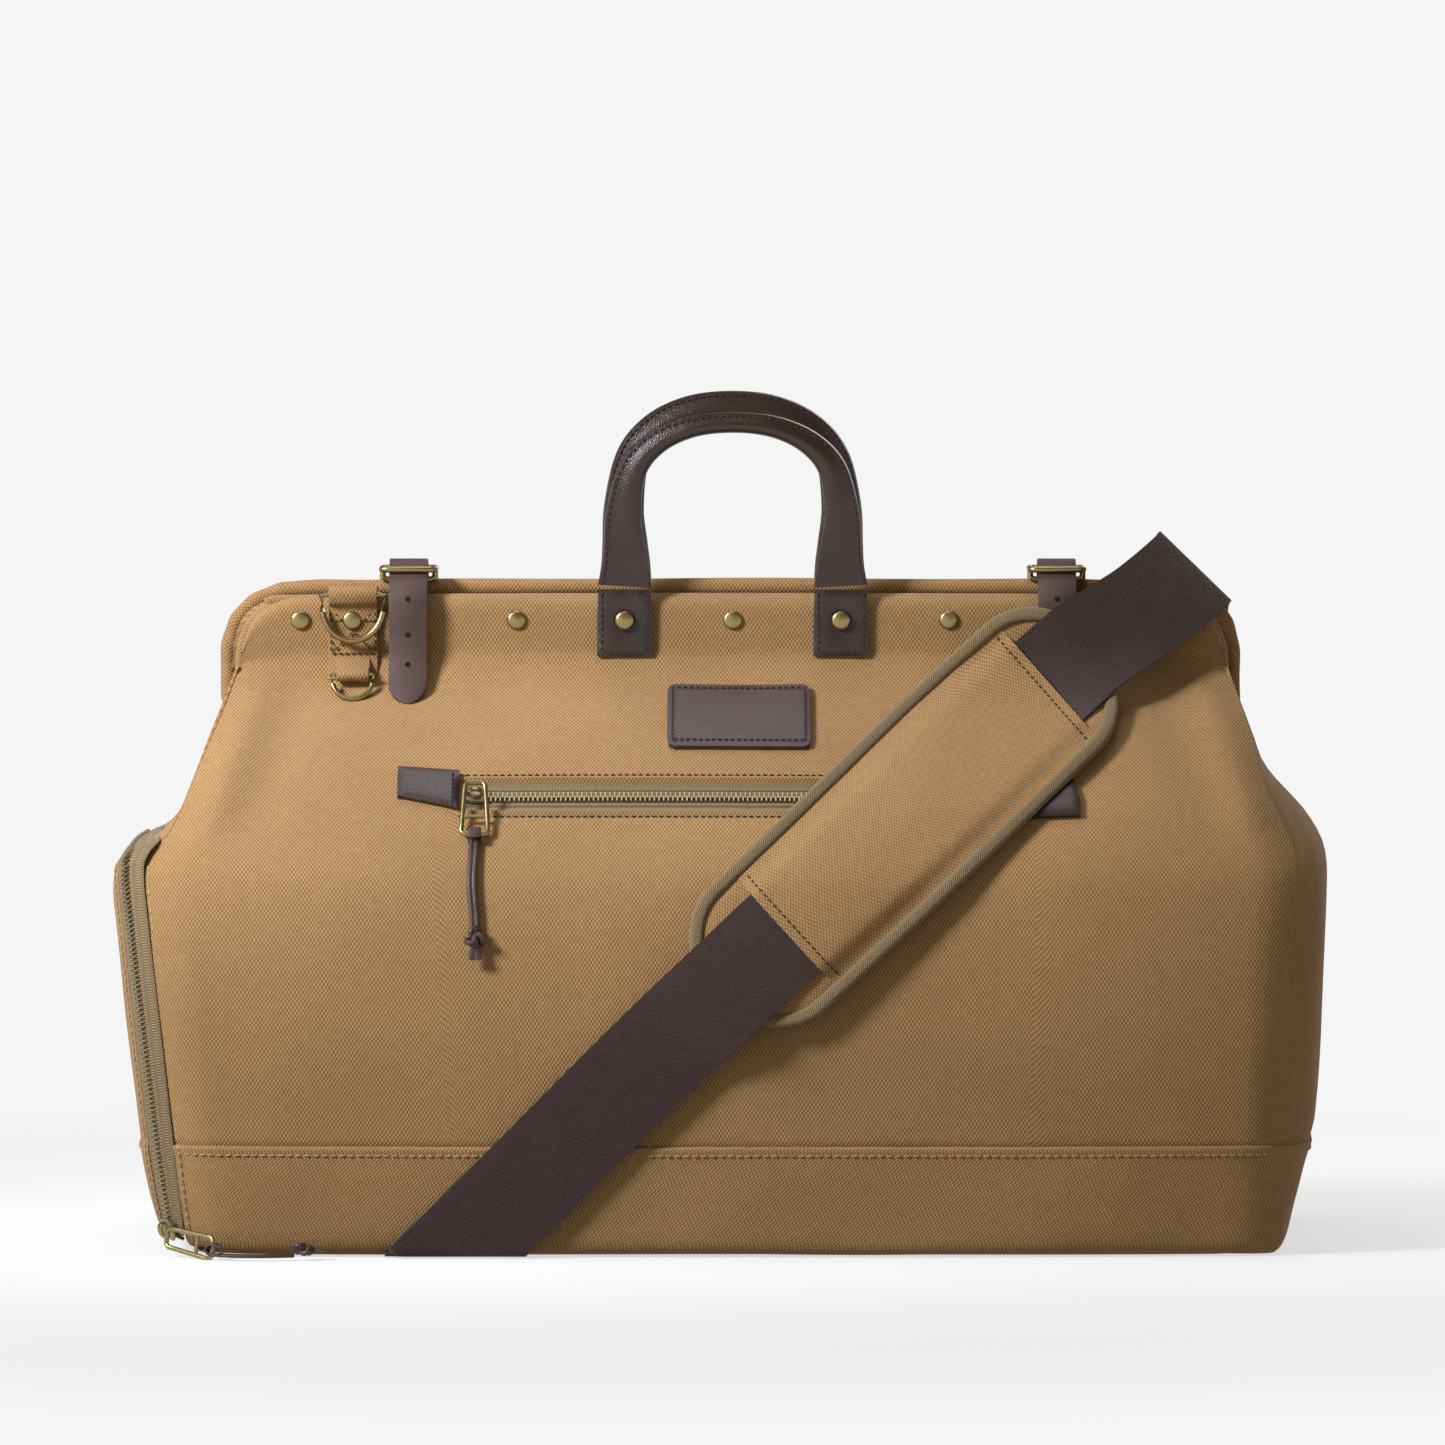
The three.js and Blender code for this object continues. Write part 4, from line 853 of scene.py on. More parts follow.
def handle_depth(share, across):
    """Half the thickness at `across`, from 0 at the inner fold to 1 at the sewn outer edge."""
    grip = ease(0.03, 0.30, min(share, 1 - share))
    if across < 0.36:
        lobe = 4.4 * math.sqrt(max(1 - ((across - 0.36) / 0.37) ** 2, 0))
    else:
        lobe = 2.0 + 2.4 * ease(0.9, 0.36, across)
    flat = 1.6 * min(1, (across / 0.04) ** 0.5) * min(1, ((1 - across) / 0.03) ** 0.5)
    lobe *= min(1, ((1 - across) / 0.05) ** 0.5)
    return flat + (lobe - flat) * grip


def make_handle(face, top):
    part = "front" if face < 0 else "back"
    path = resample(spline(handle_line(face, top), 16), 97)
    total = len(path) - 1
    frames = []
    for k, p in enumerate(path):
        ahead = (path[min(k + 1, total)] - path[max(k - 1, 0)]).normalized()
        across = ahead.cross(Y).normalized()
        frames.append((p, across, ahead.cross(across), ahead))
    cuts = [0.0, 0.04, 0.1, 0.2, 0.36, 0.5, 0.65, 0.8, 0.9, 0.96, 1.0]

    def section(share):
        half = handle_half(face, share)
        rim = [((2 * c - 1) * half, handle_depth(share, c)) for c in cuts]
        return rim + [(a, -b) for a, b in reversed(rim[1:-1])]

    body = sweep(f"{part}_handle_leather", frames, section, "handle_leather")
    rows = []
    for flip in (-1, 1):
        line = []
        for k, (p, a, b, _) in enumerate(frames):
            half = handle_half(face, k / total)
            at = 1 - 2.0 / (2 * half)
            line.append((p + a * (half - 2.0) + b * flip * (handle_depth(k / total, at) + 0.1), b * flip))

        def up(point):
            return min(line, key=lambda row: (row[0] - point).length_squared)[1]

        rows.append(thread_row("stitch", [p for p, _ in line], up, "brown_thread", 2.4, 1.0, 0.8))
    ride(merge(f"{part}_handle_loop", [body] + rows), f"{part}_handle", f"{part}_handle")

    for name, centre in (("left", -HANDLE_X), ("right", HANDLE_X)):
        def at(u, v):
            x = centre + (13.7 - 0.5 * ease(0.4, 1, v)) * (2 * u - 1) * (-face)
            z = 291.2 + 33.2 * v
            dent = 1.6 * math.exp(-(((x - centre) / 8) ** 2 + ((z - RIVET_Z) / 9) ** 2))
            puff = 1.1 * (1 - abs(2 * u - 1) ** 4) * ease(0, 0.08, v) * ease(1.0, 0.9, v)
            return V((x, face * (16.6 + puff - dent + 0.2 * ripple(x, z, 9, 3)), z))

        tab = grid("tab", at, 20, 24, 2.4, "handle_leather")
        rows = []
        corners = [(-11.4, 323), (-11.4, 293.4), (11.4, 293.4), (11.4, 323)]
        for start, end in zip(corners, corners[1:]):
            line = straight(centre, face * 17.35, start, end, 8)
            rows.append(thread_row("stitch", line, lambda p: Y * face, "brown_thread", 2.1, 0.9))
        ride(merge(f"{part}_tab_{name}", [tab] + rows), f"{part}_frame", f"{part}_handle_tab_{name}")


# ---------- closing straps ----------
# A closing strap's line from its anchor over the mouth to its tip, as (y, z).
BILLET = [(18.2, 297), (18.2, 320), (17, 327), (12, 332.8), (6, 336.9), (0, 338.2), (-6, 336.2), (-12, 330.6),
          (-17.5, 325.5), (-20.8, 318), (-21, 300), (-22, 290), (-25, 282), (-30, 274), (-33.5, 267.5)]


def make_closing_strap(name, x):
    frames = stations(spline(at_x(x, BILLET), 8), lambda _: X)
    total = len(frames)

    def section(share):
        left = (1 - share) * 142
        half = 9.6 * min(1, 0.12 + 0.88 * math.sin(math.pi / 2 * min(left / 15, 1)) ** 0.85)
        return rounded(2 * half, 2.4, 0.6)

    strap = sweep("strap", frames, section, "strap_leather")
    # The holes are not cut through: each is a flat near-black disc on the strap's face, painted shade for the dark
    # inside of a hole.
    holes = []
    for z in (319, 303, 287):
        k = min(range(total), key=lambda i: abs(frames[i][0].z - z) + (100 if frames[i][0].y > -15 else 0))
        p, a, b, _ = frames[k]
        out = b if b.y < 0 else -b
        disc = [p + out * 1.24 + (a * math.cos(t) + a.cross(out) * math.sin(t)) * 1.45
                for t in (2 * math.pi * i / 12 for i in range(12))]
        holes.append(build("hole", disc, [tuple(range(12))], None, "hole_painted_shade"))
    ride(merge(f"closing_strap_{name}_leather", [strap] + holes), f"closing_strap_{name}", f"closing_strap_{name}")


def make_buckle(name, x):
    chape = at_x(x, ((-15.9, 291.5), (-15.9, 312), (-15.6, 319.5), (-12, 323.4), (-5, 325.6), (-2.4, 327.8),
                     (-1.4, 330.8), (0.6, 331.5), (2.2, 330.0), (1.4, 327.2)))
    ride(band(f"buckle_chape_{name}_leather", chape, 17.5, 1.6, "strap_leather"), "front_frame",
         f"buckle_chape_{name}")
    half_w, half_l, corner = 13.2, 12.6, 3
    frame_line = []
    for quarter, (sx, sy) in enumerate(((1, 1), (-1, 1), (-1, -1), (1, -1))):
        cx, cy = sx * (half_w - corner), sy * (half_l - corner)
        for k in range(5):
            angle = math.radians(90 * quarter + 22.5 * k)
            frame_line.append(V((x + cx + corner * math.cos(angle), cy + corner * math.sin(angle), 334.3)))
    loop = wire("frame", frame_line, 1.65, loop=True, side=Z)
    bar = wire("bar", [V((x - 13, 0, 330.1)), V((x - 11, 0, 329)), V((x + 11, 0, 329)), V((x + 13, 0, 330.1))],
               1.5, side=Z)
    cheeks = [wire("cheek", at_x(x + s * 13.1, ((0, 329), (0, 334.3))), 1.5) for s in (-1, 1)]
    ride(merge(f"buckle_{name}_brass", [loop, bar] + cheeks), f"buckle_{name}", f"buckle_{name}")
    tongue = at_x(x, ((-1.8, 328.9), (-0.6, 331.1), (1.2, 332.1), (4, 334.9), (7, 337.1), (13.6, 337.4)))
    ride(wire(f"buckle_tongue_{name}_brass", spline(tongue, 5), 1.25, side=X), f"buckle_tongue_{name}",
         f"buckle_tongue_{name}")


# ---------- shoe compartment ----------
OUTLINE_TOP = 203
OUTLINE_ROUND = 14


def door_half(z):
    return face_depth(-edge(-1, z), z)


def make_outline():
    """The door opening as (y, z, inward y, inward z), from the front foot over the top to the back foot."""
    half = door_half(OUTLINE_TOP - OUTLINE_ROUND)
    points = [(-door_half(z), z, 1.0, 0.0) for z in [9 + 3 * k for k in range(60)]]
    for k in range(8):
        angle = math.pi / 2 * (k + 0.5) / 8
        points.append((-half + OUTLINE_ROUND * (1 - math.cos(angle)),
                       OUTLINE_TOP - OUTLINE_ROUND * (1 - math.sin(angle)), math.cos(angle), -math.sin(angle)))
    y = -half + OUTLINE_ROUND
    while y < 0:
        points.append((y, OUTLINE_TOP, 0.0, -1.0))
        y += 3
    return points + [(-y, z, -a, b) for y, z, a, b in reversed(points)]


OUTLINE = make_outline()


def door_bulge(y, z, inset):
    half = door_half(min(z, 190))
    wide = 15.5 * (1 - math.exp(-max(inset, 0) / 9)) * along(((0, 0.55), (30, 0.86), (80, 1.0), (200, 1.0)), z)
    soft = 1.2 * ripple(y * 0.7, z, 60, 31) * ease(12, 40, inset)
    return wide + 3.5 * (1 - min(abs(y) / half, 1) ** 2) + soft


def door_point(k, inset, out=0.0):
    """A point `inset` in from the edge of the shoe compartment's end."""
    y, z, a, b = OUTLINE[k]
    y, z = y + a * inset, z + b * inset
    slope = math.exp(-max(inset, 0) / 9) * 1.7
    push = V((-1, -a * slope, -b * slope)).normalized() * out
    x = -(edge(-1, min(z, 203)) + door_bulge(y, z, inset))
    return V((x, y, z)) + push


def door_out(k, inset):
    return (door_point(k, inset, 1.0) - door_point(k, inset)).normalized()


TOOTH_STEP = 1.15


def teeth(name, places, half, tall):
    """Two interlocking rows of zip teeth at evenly spaced (point, across, up, along) places."""
    pitch, size = 2.3, 0.78
    points, faces = [], []
    shape = ((-0.5, -0.5, 0), (0.5, -0.5, 0), (0.5, 0.5, 0), (-0.5, 0.5, 0),
             (-0.36, -0.46, 1), (0.36, -0.46, 1), (0.36, 0.46, 1), (-0.36, 0.46, 1))
    sides = ((0, 3, 2, 1), (4, 5, 6, 7), (0, 1, 5, 4), (1, 2, 6, 5), (2, 3, 7, 6), (3, 0, 4, 7))
    for k, (p, across, up, ahead) in enumerate(places):
        sign = 1 if k % 2 else -1
        centre = p + across * (sign * half * 0.42)
        base = len(points)
        for a, b, c in shape:
            points.append(centre + ahead * (a * size * pitch * 0.62) + across * (b * half * 1.45) + up * (c * tall))
        faces += [tuple(base + i for i in side) for side in sides]
    obj = build(name, points, faces, None, "zip_metal")
    for polygon in obj.data.polygons:
        polygon.use_smooth = False
    fix_normals(obj)
    return obj


def even(points, pitch):
    """Points at even steps along a line, as (point, tangent, position in the line's list)."""
    total = sum((b - a).length for a, b in zip(points, points[1:]))
    count = max(int(total / pitch), 1)
    result, k, passed = [], 0, 0.0
    for c in range(count + 1):
        goal = total * c / count
        while k < len(points) - 2 and passed + (points[k + 1] - points[k]).length < goal:
            passed += (points[k + 1] - points[k]).length
            k += 1
        span = points[k + 1] - points[k]
        share = (goal - passed) / max(span.length, 1e-9)
        result.append((points[k] + span * share, span.normalized(), k + min(share, 1)))
    return result


def make_shoe_compartment():
    last = len(OUTLINE) - 1

    def tape(name, low, high, out):
        return grid(name, lambda u, v: door_point(round(v * last), low + (high - low) * u, out), 8, last, 0.7,
                    "tape", swap=True)

    root_tape, door_tape = tape("shoe_tape_root", -1.5, 6.2, 0.0), tape("shoe_tape_door", 7.9, 16.0, 0.0)
    line = [door_point(k, 7.0, 0.4) for k in range(last + 1)]
    rows = []
    for p, ahead, at in even(line, TOOTH_STEP):
        up = door_out(min(int(at), last), 7.0)
        rows.append((p, ahead.cross(up).normalized(), up, ahead))
    chain = teeth("shoe_teeth", rows, 2.6, 1.3)
    cords = []
    for inset in (3.6, 10.2):
        rail = [door_point(k, inset, 0.35) for k in range(0, last + 1, 2)]
        cords.append(wire("rail", rail, 0.55, "tape", side=Y, sides=6))
    ride(merge("shoe_zip_root_side", [root_tape, chain, cords[0]]), "root", "shoe_zip_chain")
    ride(merge("shoe_zip_door_side", [door_tape, cords[1]]), "shoe_door")

    def at(u, v):
        z = 5.5 + 184.5 * v
        half = door_half(min(z, 190)) - 13
        y = half - 2 * half * u
        inset = min(13 + half - abs(y), max(13.0, OUTLINE_TOP - z))
        roll = 9.0 * ease(16, 4, z) ** 2
        seam = 0.9 * ease(54.8, 53.2, z)
        return V((-(edge(-1, z) + door_bulge(y, z, inset) + 1.0) + roll - seam, y, z))

    door = grid("shoe_door_canvas", at, 40, 64, 1.6, "canvas")
    off = V((-0.35, 0, 0))
    rows = [thread_row("stitch", path, lambda p: -X) for path in (
        [at(1 - (k + 0.5) / 40, (50.4 - 5.5) / 184.5) + V((-0.3, 0, 0)) for k in range(40)],
        [at(0.985, k / 60) + off for k in range(61)],
        [at(0.985 - 0.97 * k / 40, 0.985) + V((-0.3, 0, 0.2)) for k in range(41)],
        [at(0.015, 1 - k / 60) + off for k in range(61)],
    )]
    ride(merge("shoe_door_cloth", [door] + rows), "shoe_door", "shoe_door")

    for face in (-1, 1):
        path = [V((-(edge(-1, z) - 2.2), face * (door_half(z) + 1.4 + 2.6 * (z < BAND_TOP)), z))
                for z in range(8, 196, 4)]
        ride(thread_row(f"shoe_edge_stitch_{face + 1}", path, lambda p: (Y * face - X * 0.4).normalized()), "root")

    def roof(u, v):
        y = -96 + 192 * u
        x = -288 + 30 * v
        sag = 1.2 * ripple(x, y, 40, 12)
        return V((x, -y, 202.4 + 3.4 * v + sag * (1 - abs(2 * u - 1)) - 2.2 * (1 - v) ** 3))

    ride(grid("shoe_roof_canvas", roof, 40, 8, 1.4, "canvas", swap=True), "root", "shoe_roof")


# ---------- pocket zip ----------
def face_patch(name, xs, zs, out, thick, material, nu, nv, puff=0.0, cut=None):
    """A leather or cloth piece laid on the front; cut(u, v) may move its outline."""
    def at(u, v):
        x, z = xs[0] + (xs[1] - xs[0]) * u, zs[0] + (zs[1] - zs[0]) * v
        if cut:
            dx, dz = cut(u, v)
            x, z = x + dx, z + dz
        rim = (1 - abs(2 * u - 1) ** 6) * (1 - abs(2 * v - 1) ** 6)
        return on_face(-1, x, z, out + puff * rim)

    return grid(name, at, nu, nv, thick, material)


def face_row(points, out, thick):
    path = []
    for (xa, za), (xb, zb) in zip(points, points[1:]):
        count = max(int(math.hypot(xb - xa, zb - za) / 3), 1)
        path += [on_face(-1, xa + (xb - xa) * k / count, za + (zb - za) * k / count, out) for k in range(count)]
    path.append(on_face(-1, *points[-1], out))
    return thread_row("stitch", path, lambda p: face_out(-1, p.x, p.z), "brown_thread", 2.2, 0.9, thick)


def make_pocket():
    tape = face_patch("tape", (ZIP_LEFT - 1, ZIP_RIGHT + 1), (ZIP_Z - 6.3, ZIP_Z + 6.3), 0.7, 0.6, "tape", 70, 6)
    line = [on_face(-1, x, ZIP_Z, 0.9) for x in range(ZIP_LEFT + 2, ZIP_RIGHT - 1, 2)]
    rows = []
    for p, ahead, _ in even(line, TOOTH_STEP):
        up = face_out(-1, p.x, p.z)
        rows.append((p, ahead.cross(up).normalized(), up, ahead))
    chain = teeth("pocket_teeth", rows, 2.7, 1.4)
    rails = [wire("rail", [on_face(-1, x, ZIP_Z + dz, 0.9) for x in range(ZIP_LEFT, ZIP_RIGHT, 6)], 0.5, "tape",
                  side=Z, sides=6) for dz in (-3.6, 3.6)]
    ride(merge("pocket_zip", [tape, chain] + rails), "root", "pocket_zip_chain")

    def left_cut(u, v):
        return (0.0, (1 - u) * (5.8 - 3.8 * v))

    left = face_patch("tab", (-165.5, -134.8), (217.6, 235.2), 3.0, 2.4, "handle_leather", 16, 10, 0.8, left_cut)
    stitch = face_row([(-138.2, 216.8), (-138.2, 233.4)], 4.2, 1.1)
    ride(merge("pocket_tab_left", [left, stitch]), "root", "zip_end_tab_left")

    def right_cut(u, v):
        return ((-3.0 * (2 * v - 1) * u if v > 0.5 else 0.0), u * 1.0)

    right = face_patch("tab", (145.5, 171), (213, 229.5), 3.0, 2.4, "handle_leather", 16, 10, 0.8, right_cut)
    stitch = face_row([(148.5, 214.5), (148.5, 228)], 4.0, 0.8)
    ride(merge("pocket_tab_right", [right, stitch]), "root", "zip_end_tab_right")


def make_patch():
    def round_cut(u, v):
        near_u, near_v = 1 - min(u, 1 - u) / 0.05, 1 - min(v, 1 - v) / 0.12
        if near_u > 0 and near_v > 0:
            pull = min(near_u, near_v) * 0.9
            return (pull * (1 if u < 0.5 else -1), pull * (1 if v < 0.5 else -1))
        return (0.0, 0.0)

    patch = face_patch("patch", (-32.5, 38.5), (246.2, 275.2), 2.9, 2.2, "patch_leather", 40, 20, 0.7, round_cut)
    x0, x1, z0, z1 = -30, 36, 248.6, 272.8
    border = face_row([(x0, z0), (x1, z0), (x1, z1), (x0, z1), (x0, z0)], 3.75, 0.85)
    patch = merge("patch_leather", [patch, border])
    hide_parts("leather_patch")
    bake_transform(patch)


def zip_slider(name, centre, ahead, up, body, node):
    """A cast slider: a waisted plate over the chain with a raised bridge."""
    side = ahead.cross(up).normalized()
    outline = [(-5.6, 3.3), (-2.5, 4.6), (3.0, 4.7), (5.6, 3.6), (6.0, 1.2), (6.0, -1.2), (5.6, -3.6), (3.0, -4.7),
               (-2.5, -4.6), (-5.6, -3.3), (-4.6, -1.2), (-4.6, 1.2)]
    levels = [(0.2, 0.97), (0.7, 1.0), (1.9, 1.0), (2.5, 0.93), (2.7, 0.8)]
    points, faces = [], []
    count = len(outline)
    for height, size in levels:
        points += [centre + ahead * (a * size) + side * (b * size) + up * height for a, b in outline]
    for j in range(len(levels) - 1):
        for i in range(count):
            a, b = j * count + i, j * count + (i + 1) % count
            faces.append((a, b, b + count, a + count))
    faces.append(tuple(range(count)))
    faces.append(tuple((len(levels) - 1) * count + i for i in range(count)))
    plate = build("plate", points, faces, None, "zip_metal")
    fix_normals(plate)
    line = [centre + ahead * a + up * b for a, b in
            ((-4.2, 2.2), (-3.6, 4.2), (-1.8, 5.6), (0.8, 5.8), (2.8, 4.6), (3.6, 2.2))]
    bridge = band("bridge", line, 3.0, 1.3, "brass", side, 4, swap=False)
    return ride(merge(name, [plate, bridge]), body, node)


def zip_pull(name, top, foot, side, body, node, start=5.0, end=6.6):
    """A wire pull: a long loop, wider at its foot, with a cross bar."""
    down = (foot - top).normalized()
    long = (foot - top).length
    out = side.cross(down).normalized()
    shape = [(-start + 1.4, -0.3), (start - 1.4, -0.3), (start, 1.4), (end, long - 1.4), (end - 1.2, long),
             (-end + 1.2, long), (-end, long - 1.4), (-start, 1.4)]
    dense = []
    for k, (a, b) in enumerate(shape):
        c, d = shape[(k + 1) % len(shape)]
        steps = 6 if math.hypot(c - a, d - b) > 4 else 2
        dense += [(a + (c - a) * s / steps, b + (d - b) * s / steps) for s in range(steps)]
    loop = wire("loop", [top + side * a + down * b for a, b in dense], 1.25, loop=True, side=out, sides=10)
    at = long * 0.66
    wide = start + (end - start) * 0.66
    bar = wire("bar", [top + side * (-wide) + down * at, top + side * wide + down * at], 1.05, side=out, sides=10)
    return ride(merge(name, [loop, bar]), body, node)


def knot(name, centre, down, out, size, tail):
    """A half hitch in a thin leather lace, with its two cut ends."""
    side = down.cross(out).normalized()
    path = []
    for k in range(60):
        t = 2 * math.pi * k / 60
        a, b, c = math.sin(t) + 2 * math.sin(2 * t), math.cos(t) - 2 * math.cos(2 * t), -math.sin(3 * t)
        path.append(centre + side * (a * size / 3) + down * (b * size / 3) + out * (c * size * 0.42))
    pieces = [wire("wrap", path, 1.35, "lace_leather", loop=True, side=out, sides=8)]
    core = [centre + down * d for d in (-size * 1.1, -size * 0.4, size * 0.5, size * 1.1)]
    pieces.append(wire("core", core, 2.3, "lace_leather", side=side, sides=10))
    for sign in (-1, 1):
        ends = [centre + down * (size * 0.9) + side * sign * 0.6,
                centre + down * (size * 0.9 + tail * 0.5) + side * sign * 1.2,
                centre + down * (size * 0.9 + tail) + side * sign * 1.9]
        pieces.append(band("end", ends, 3.2, 2.0, "lace_leather", side, 4, swap=False))
    return merge(name, pieces)


def lace(name, route, out, body, node):
    """Two strands of leather lace side by side."""
    line = spline(route, 6)
    side_of = [line[min(k + 1, len(line) - 1)] - line[max(k - 1, 0)] for k in range(len(line))]
    frames = stations(line, lambda share: side_of[round(share * (len(line) - 1))].cross(out))

    ring = []
    for a, b in circle(1, 16):
        waist = 0.4 + 0.8 * abs(a) ** 0.7 * (1.6 - abs(a))
        ring.append((2.6 * a, 1.15 * b * waist))
    strands = sweep(name, frames, lambda _: ring, "lace_leather")
    ride(strands, body, node)
    length = sum((b - a).length for a, b in zip(line, line[1:])) * MM


def lace_eye(name, at, down, side, out):
    """The lace's folded start, looped round the foot of the pull."""
    path = [at + out * 2.3 + down * 4.5, at + out * 2.6, at - down * 1.2 + out * 1.9, at - down * 2.3,
            at - down * 1.2 - out * 1.9, at - out * 2.4 + down * 1.0, at - out * 1.6 + down * 5.0]
    return band(name, path, 6.4, 1.5, "lace_leather", side, 4, swap=False, radius=0.6)


PULL_X = -127


def make_laces():
    x = PULL_X
    route = [on_face(-1, x + dx, z, 3.0) for z, dx in ((202.5, 0), (193, -0.6), (184, -1.0), (175, -0.4),
                                                       (167, 0.3), (161.5, 0.4))]
    down, out = -face_up(-1, x, 200), face_out(-1, x, 200)
    tie = knot("pocket_knot", on_face(-1, x + 0.6, 157.0, 5.2), -face_up(-1, x, 157), face_out(-1, x, 157), 4.5, 7)
    ride(tie, "pocket_zip_pull", "pocket_lace_knot")
    eye = lace_eye("pocket_lace_eye", on_face(-1, x, 205.6, 3.6), down, X, out)
    ride(eye, "pocket_zip_pull")
    lace("pocket_lace_strands", route, out, "pocket_zip_pull", "pocket_lace")

    route = [V((a, b, 2.0)) for a, b in ((-252, -141), (-243, -145), (-233, -146.5), (-223, -145), (-215.5, -142.9))]
    tie = knot("shoe_knot", V((-210.5, -142, 5.0)), V((1, 0.1, -0.12)).normalized(), Z, 4.2, 7)
    ride(tie, "shoe_zip_pull", "shoe_lace_knot")
    eye = lace_eye("shoe_lace_eye", V((-255.5, -139.4, 4.6)), V((1, -0.4, -0.15)).normalized(),
                   V((0.37, 0.93, 0)).normalized(), Z)
    ride(eye, "shoe_zip_pull")
    lace("shoe_lace_strands", route, Z, "shoe_zip_pull", "shoe_lace")


def make_sliders():
    x = PULL_X
    up = face_out(-1, x, ZIP_Z)
    zip_slider("pocket_slider", on_face(-1, x, ZIP_Z, 1.6), X, up, "pocket_zip_slider", "pocket_zip_slider")
    zip_pull("pocket_pull", V((x, -98.3, 231.7)), on_face(-1, x, 205.2, 3.4), X, "pocket_zip_pull",
             "pocket_zip_pull")
    k = 1
    at = door_point(k, 7.0, 1.2) - Y * 3.5
    ahead = (door_point(k + 2, 7.0) - door_point(k, 7.0)).normalized()
    zip_slider("shoe_slider", at, ahead, door_out(k, 7.0), "shoe_zip_slider", "shoe_zip_slider")
    zip_pull("shoe_pull", V((-278.0, -121.0, 9.2)), V((-255.4, -139.4, 5.0)), V((0.12, 0.1, 1)).normalized(),
             "shoe_zip_pull", "shoe_zip_pull", 4.6, 5.4)


# ---------- shoulder strap ----------
STRAP_DEPTH = ((0, 131), (52, 137.5), (120, 141.5), (180, 132), (210, 112.5), (240, 81), (258, 57), (270, 41.5),
               (281, 33), (292, 27.5), (320, 26))
STRAP_ROUTE = ((183, 301.5), (165, 287), (86, 216), (-20, 118), (-100, 38), (-150, -12))
WEB = 2.2
HALF_WEB = 25


def resample(points, count):
    lengths = [0.0]
    for a, b in zip(points, points[1:]):
        lengths.append(lengths[-1] + (b - a).length)
    result, k = [], 0
    for c in range(count):
        goal = lengths[-1] * c / (count - 1)
        while k < len(points) - 2 and lengths[k + 1] < goal:
            k += 1
        result.append(points[k].lerp(points[k + 1], (goal - lengths[k]) / (lengths[k + 1] - lengths[k])))
    return result


STRAP_LINE = resample(spline([V((x, 0, z)) for x, z in STRAP_ROUTE], 60), 401)


def strap_point(t, across, out):
    k = min(max(t, 0), 1) * 400
    i = min(int(k), 399)
    p = STRAP_LINE[i].lerp(STRAP_LINE[i + 1], k - i)
    tangent = (STRAP_LINE[min(i + 2, 400)] - STRAP_LINE[max(i - 1, 0)]).normalized()
    x, z = p.x + tangent.z * across, p.z - tangent.x * across
    return V((x, -(along(STRAP_DEPTH, z) + out), z))


def floor_share(across, level):
    low, high = 0.7, 1.0
    for _ in range(30):
        middle = (low + high) / 2
        if strap_point(middle, across, 0).z > level:
            low = middle
        else:
            high = middle
    return low


PAD_START, PAD_STOP = 0.018, 0.553
PAD_WEB = 6.6
SLEEVE_START, SLEEVE_STOP = 0.075, 0.461


def make_strap():
    def lower(u, v):
        across = HALF_WEB * (1 - 2 * v)
        share = 0.40 + (floor_share(across, 2.6) - 0.40) * min(u / 0.965, 1)
        level = PAD_WEB + 1.9 * ease(0.49, 0.54, share) + (WEB - PAD_WEB - 1.9) * ease(0.56, 0.63, share)
        p = strap_point(share, across, level + 0.3 * ripple(share * 600, across, 60, 44))
        if u > 0.965:
            turn = (u - 0.965) / 0.035 * math.pi / 2
            p = V((p.x - 1.5 * math.sin(turn), p.y + 2.4 * (1 - math.cos(turn)) + 2.2 * math.sin(turn) ** 2,
                   p.z - 2.4 * math.sin(turn)))
        return p

    ride(grid("strap_front_web", lower, 90, 12, WEB, "webbing"), "root", "strap_lower")

    under = grid("strap_under_web", lambda u, v: V((-146 - HALF_WEB + 2 * HALF_WEB * v, 128 - 256 * u, 2.2)),
                 30, 6, 1.9, "webbing")
    ride(under, "root", "strap_under")

    rise = [V((x, along(STRAP_DEPTH, z) + WEB, z)) for x, z in ((-146, 1), (-147, 30), (-148, 60), (-160, 108),
                                                               (-184, 146), (-212, 176), (-226, 194))]
    rise += at_x(-228, ((121.9, 204), (120.5, 207.2), (117.3, 208.6), (114.1, 207.2)))
    climb = spline(rise, 8)
    rear = grid("strap_rear_web", lambda u, v: climb[round(u * (len(climb) - 1))] + X * HALF_WEB * (2 * v - 1),
                len(climb) - 1, 8, WEB, "webbing")
    ride(rear, "root", "strap_rear")

    over = [(228, 72, 250), (227.5, 62, 262), (226, 45, 273), (225, 30, 288), (225, 22, 304), (227, 20.2, 317),
            (229.8, 17, 329), (231.6, 9, 334.8), (231.5, 0, 335.2), (226, -10, 330.6), (217, -20, 323.5),
            (205, -29.5, 315.0)]
    slant = V((0.72, 0, -0.69))
    rows = []
    for a in range(9):
        across = HALF_WEB * (2 * a / 8 - 1)
        line = [V(p) + X.lerp(slant, ease(3, 7, k)) * across for k, p in enumerate(over)]
        line += [strap_point(share, -across, 8.6 - 2.0 * ease(0.035, 0.075, share))
                 for share in (0.012, 0.035, 0.06, 0.085, 0.11)]
        rows.append(spline(line, 5))
    upper = grid("strap_upper_web", lambda u, v: rows[round(v * 8)][round(u * (len(rows[0]) - 1))],
                 len(rows[0]) - 1, 8, WEB, "webbing")
    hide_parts("strap_upper")
    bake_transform(upper)


def pad_half(share):
    long = (PAD_STOP - PAD_START) * strap_length()
    from_end = min(share, 1 - share) * long
    gone = max(0.0, 1 - from_end / 30)
    return 38 * math.sqrt(1 - (0.94 * gone) ** 2) if gone > 0 else 38.0


def strap_length():
    return sum((b - a).length for a, b in zip(STRAP_LINE, STRAP_LINE[1:]))


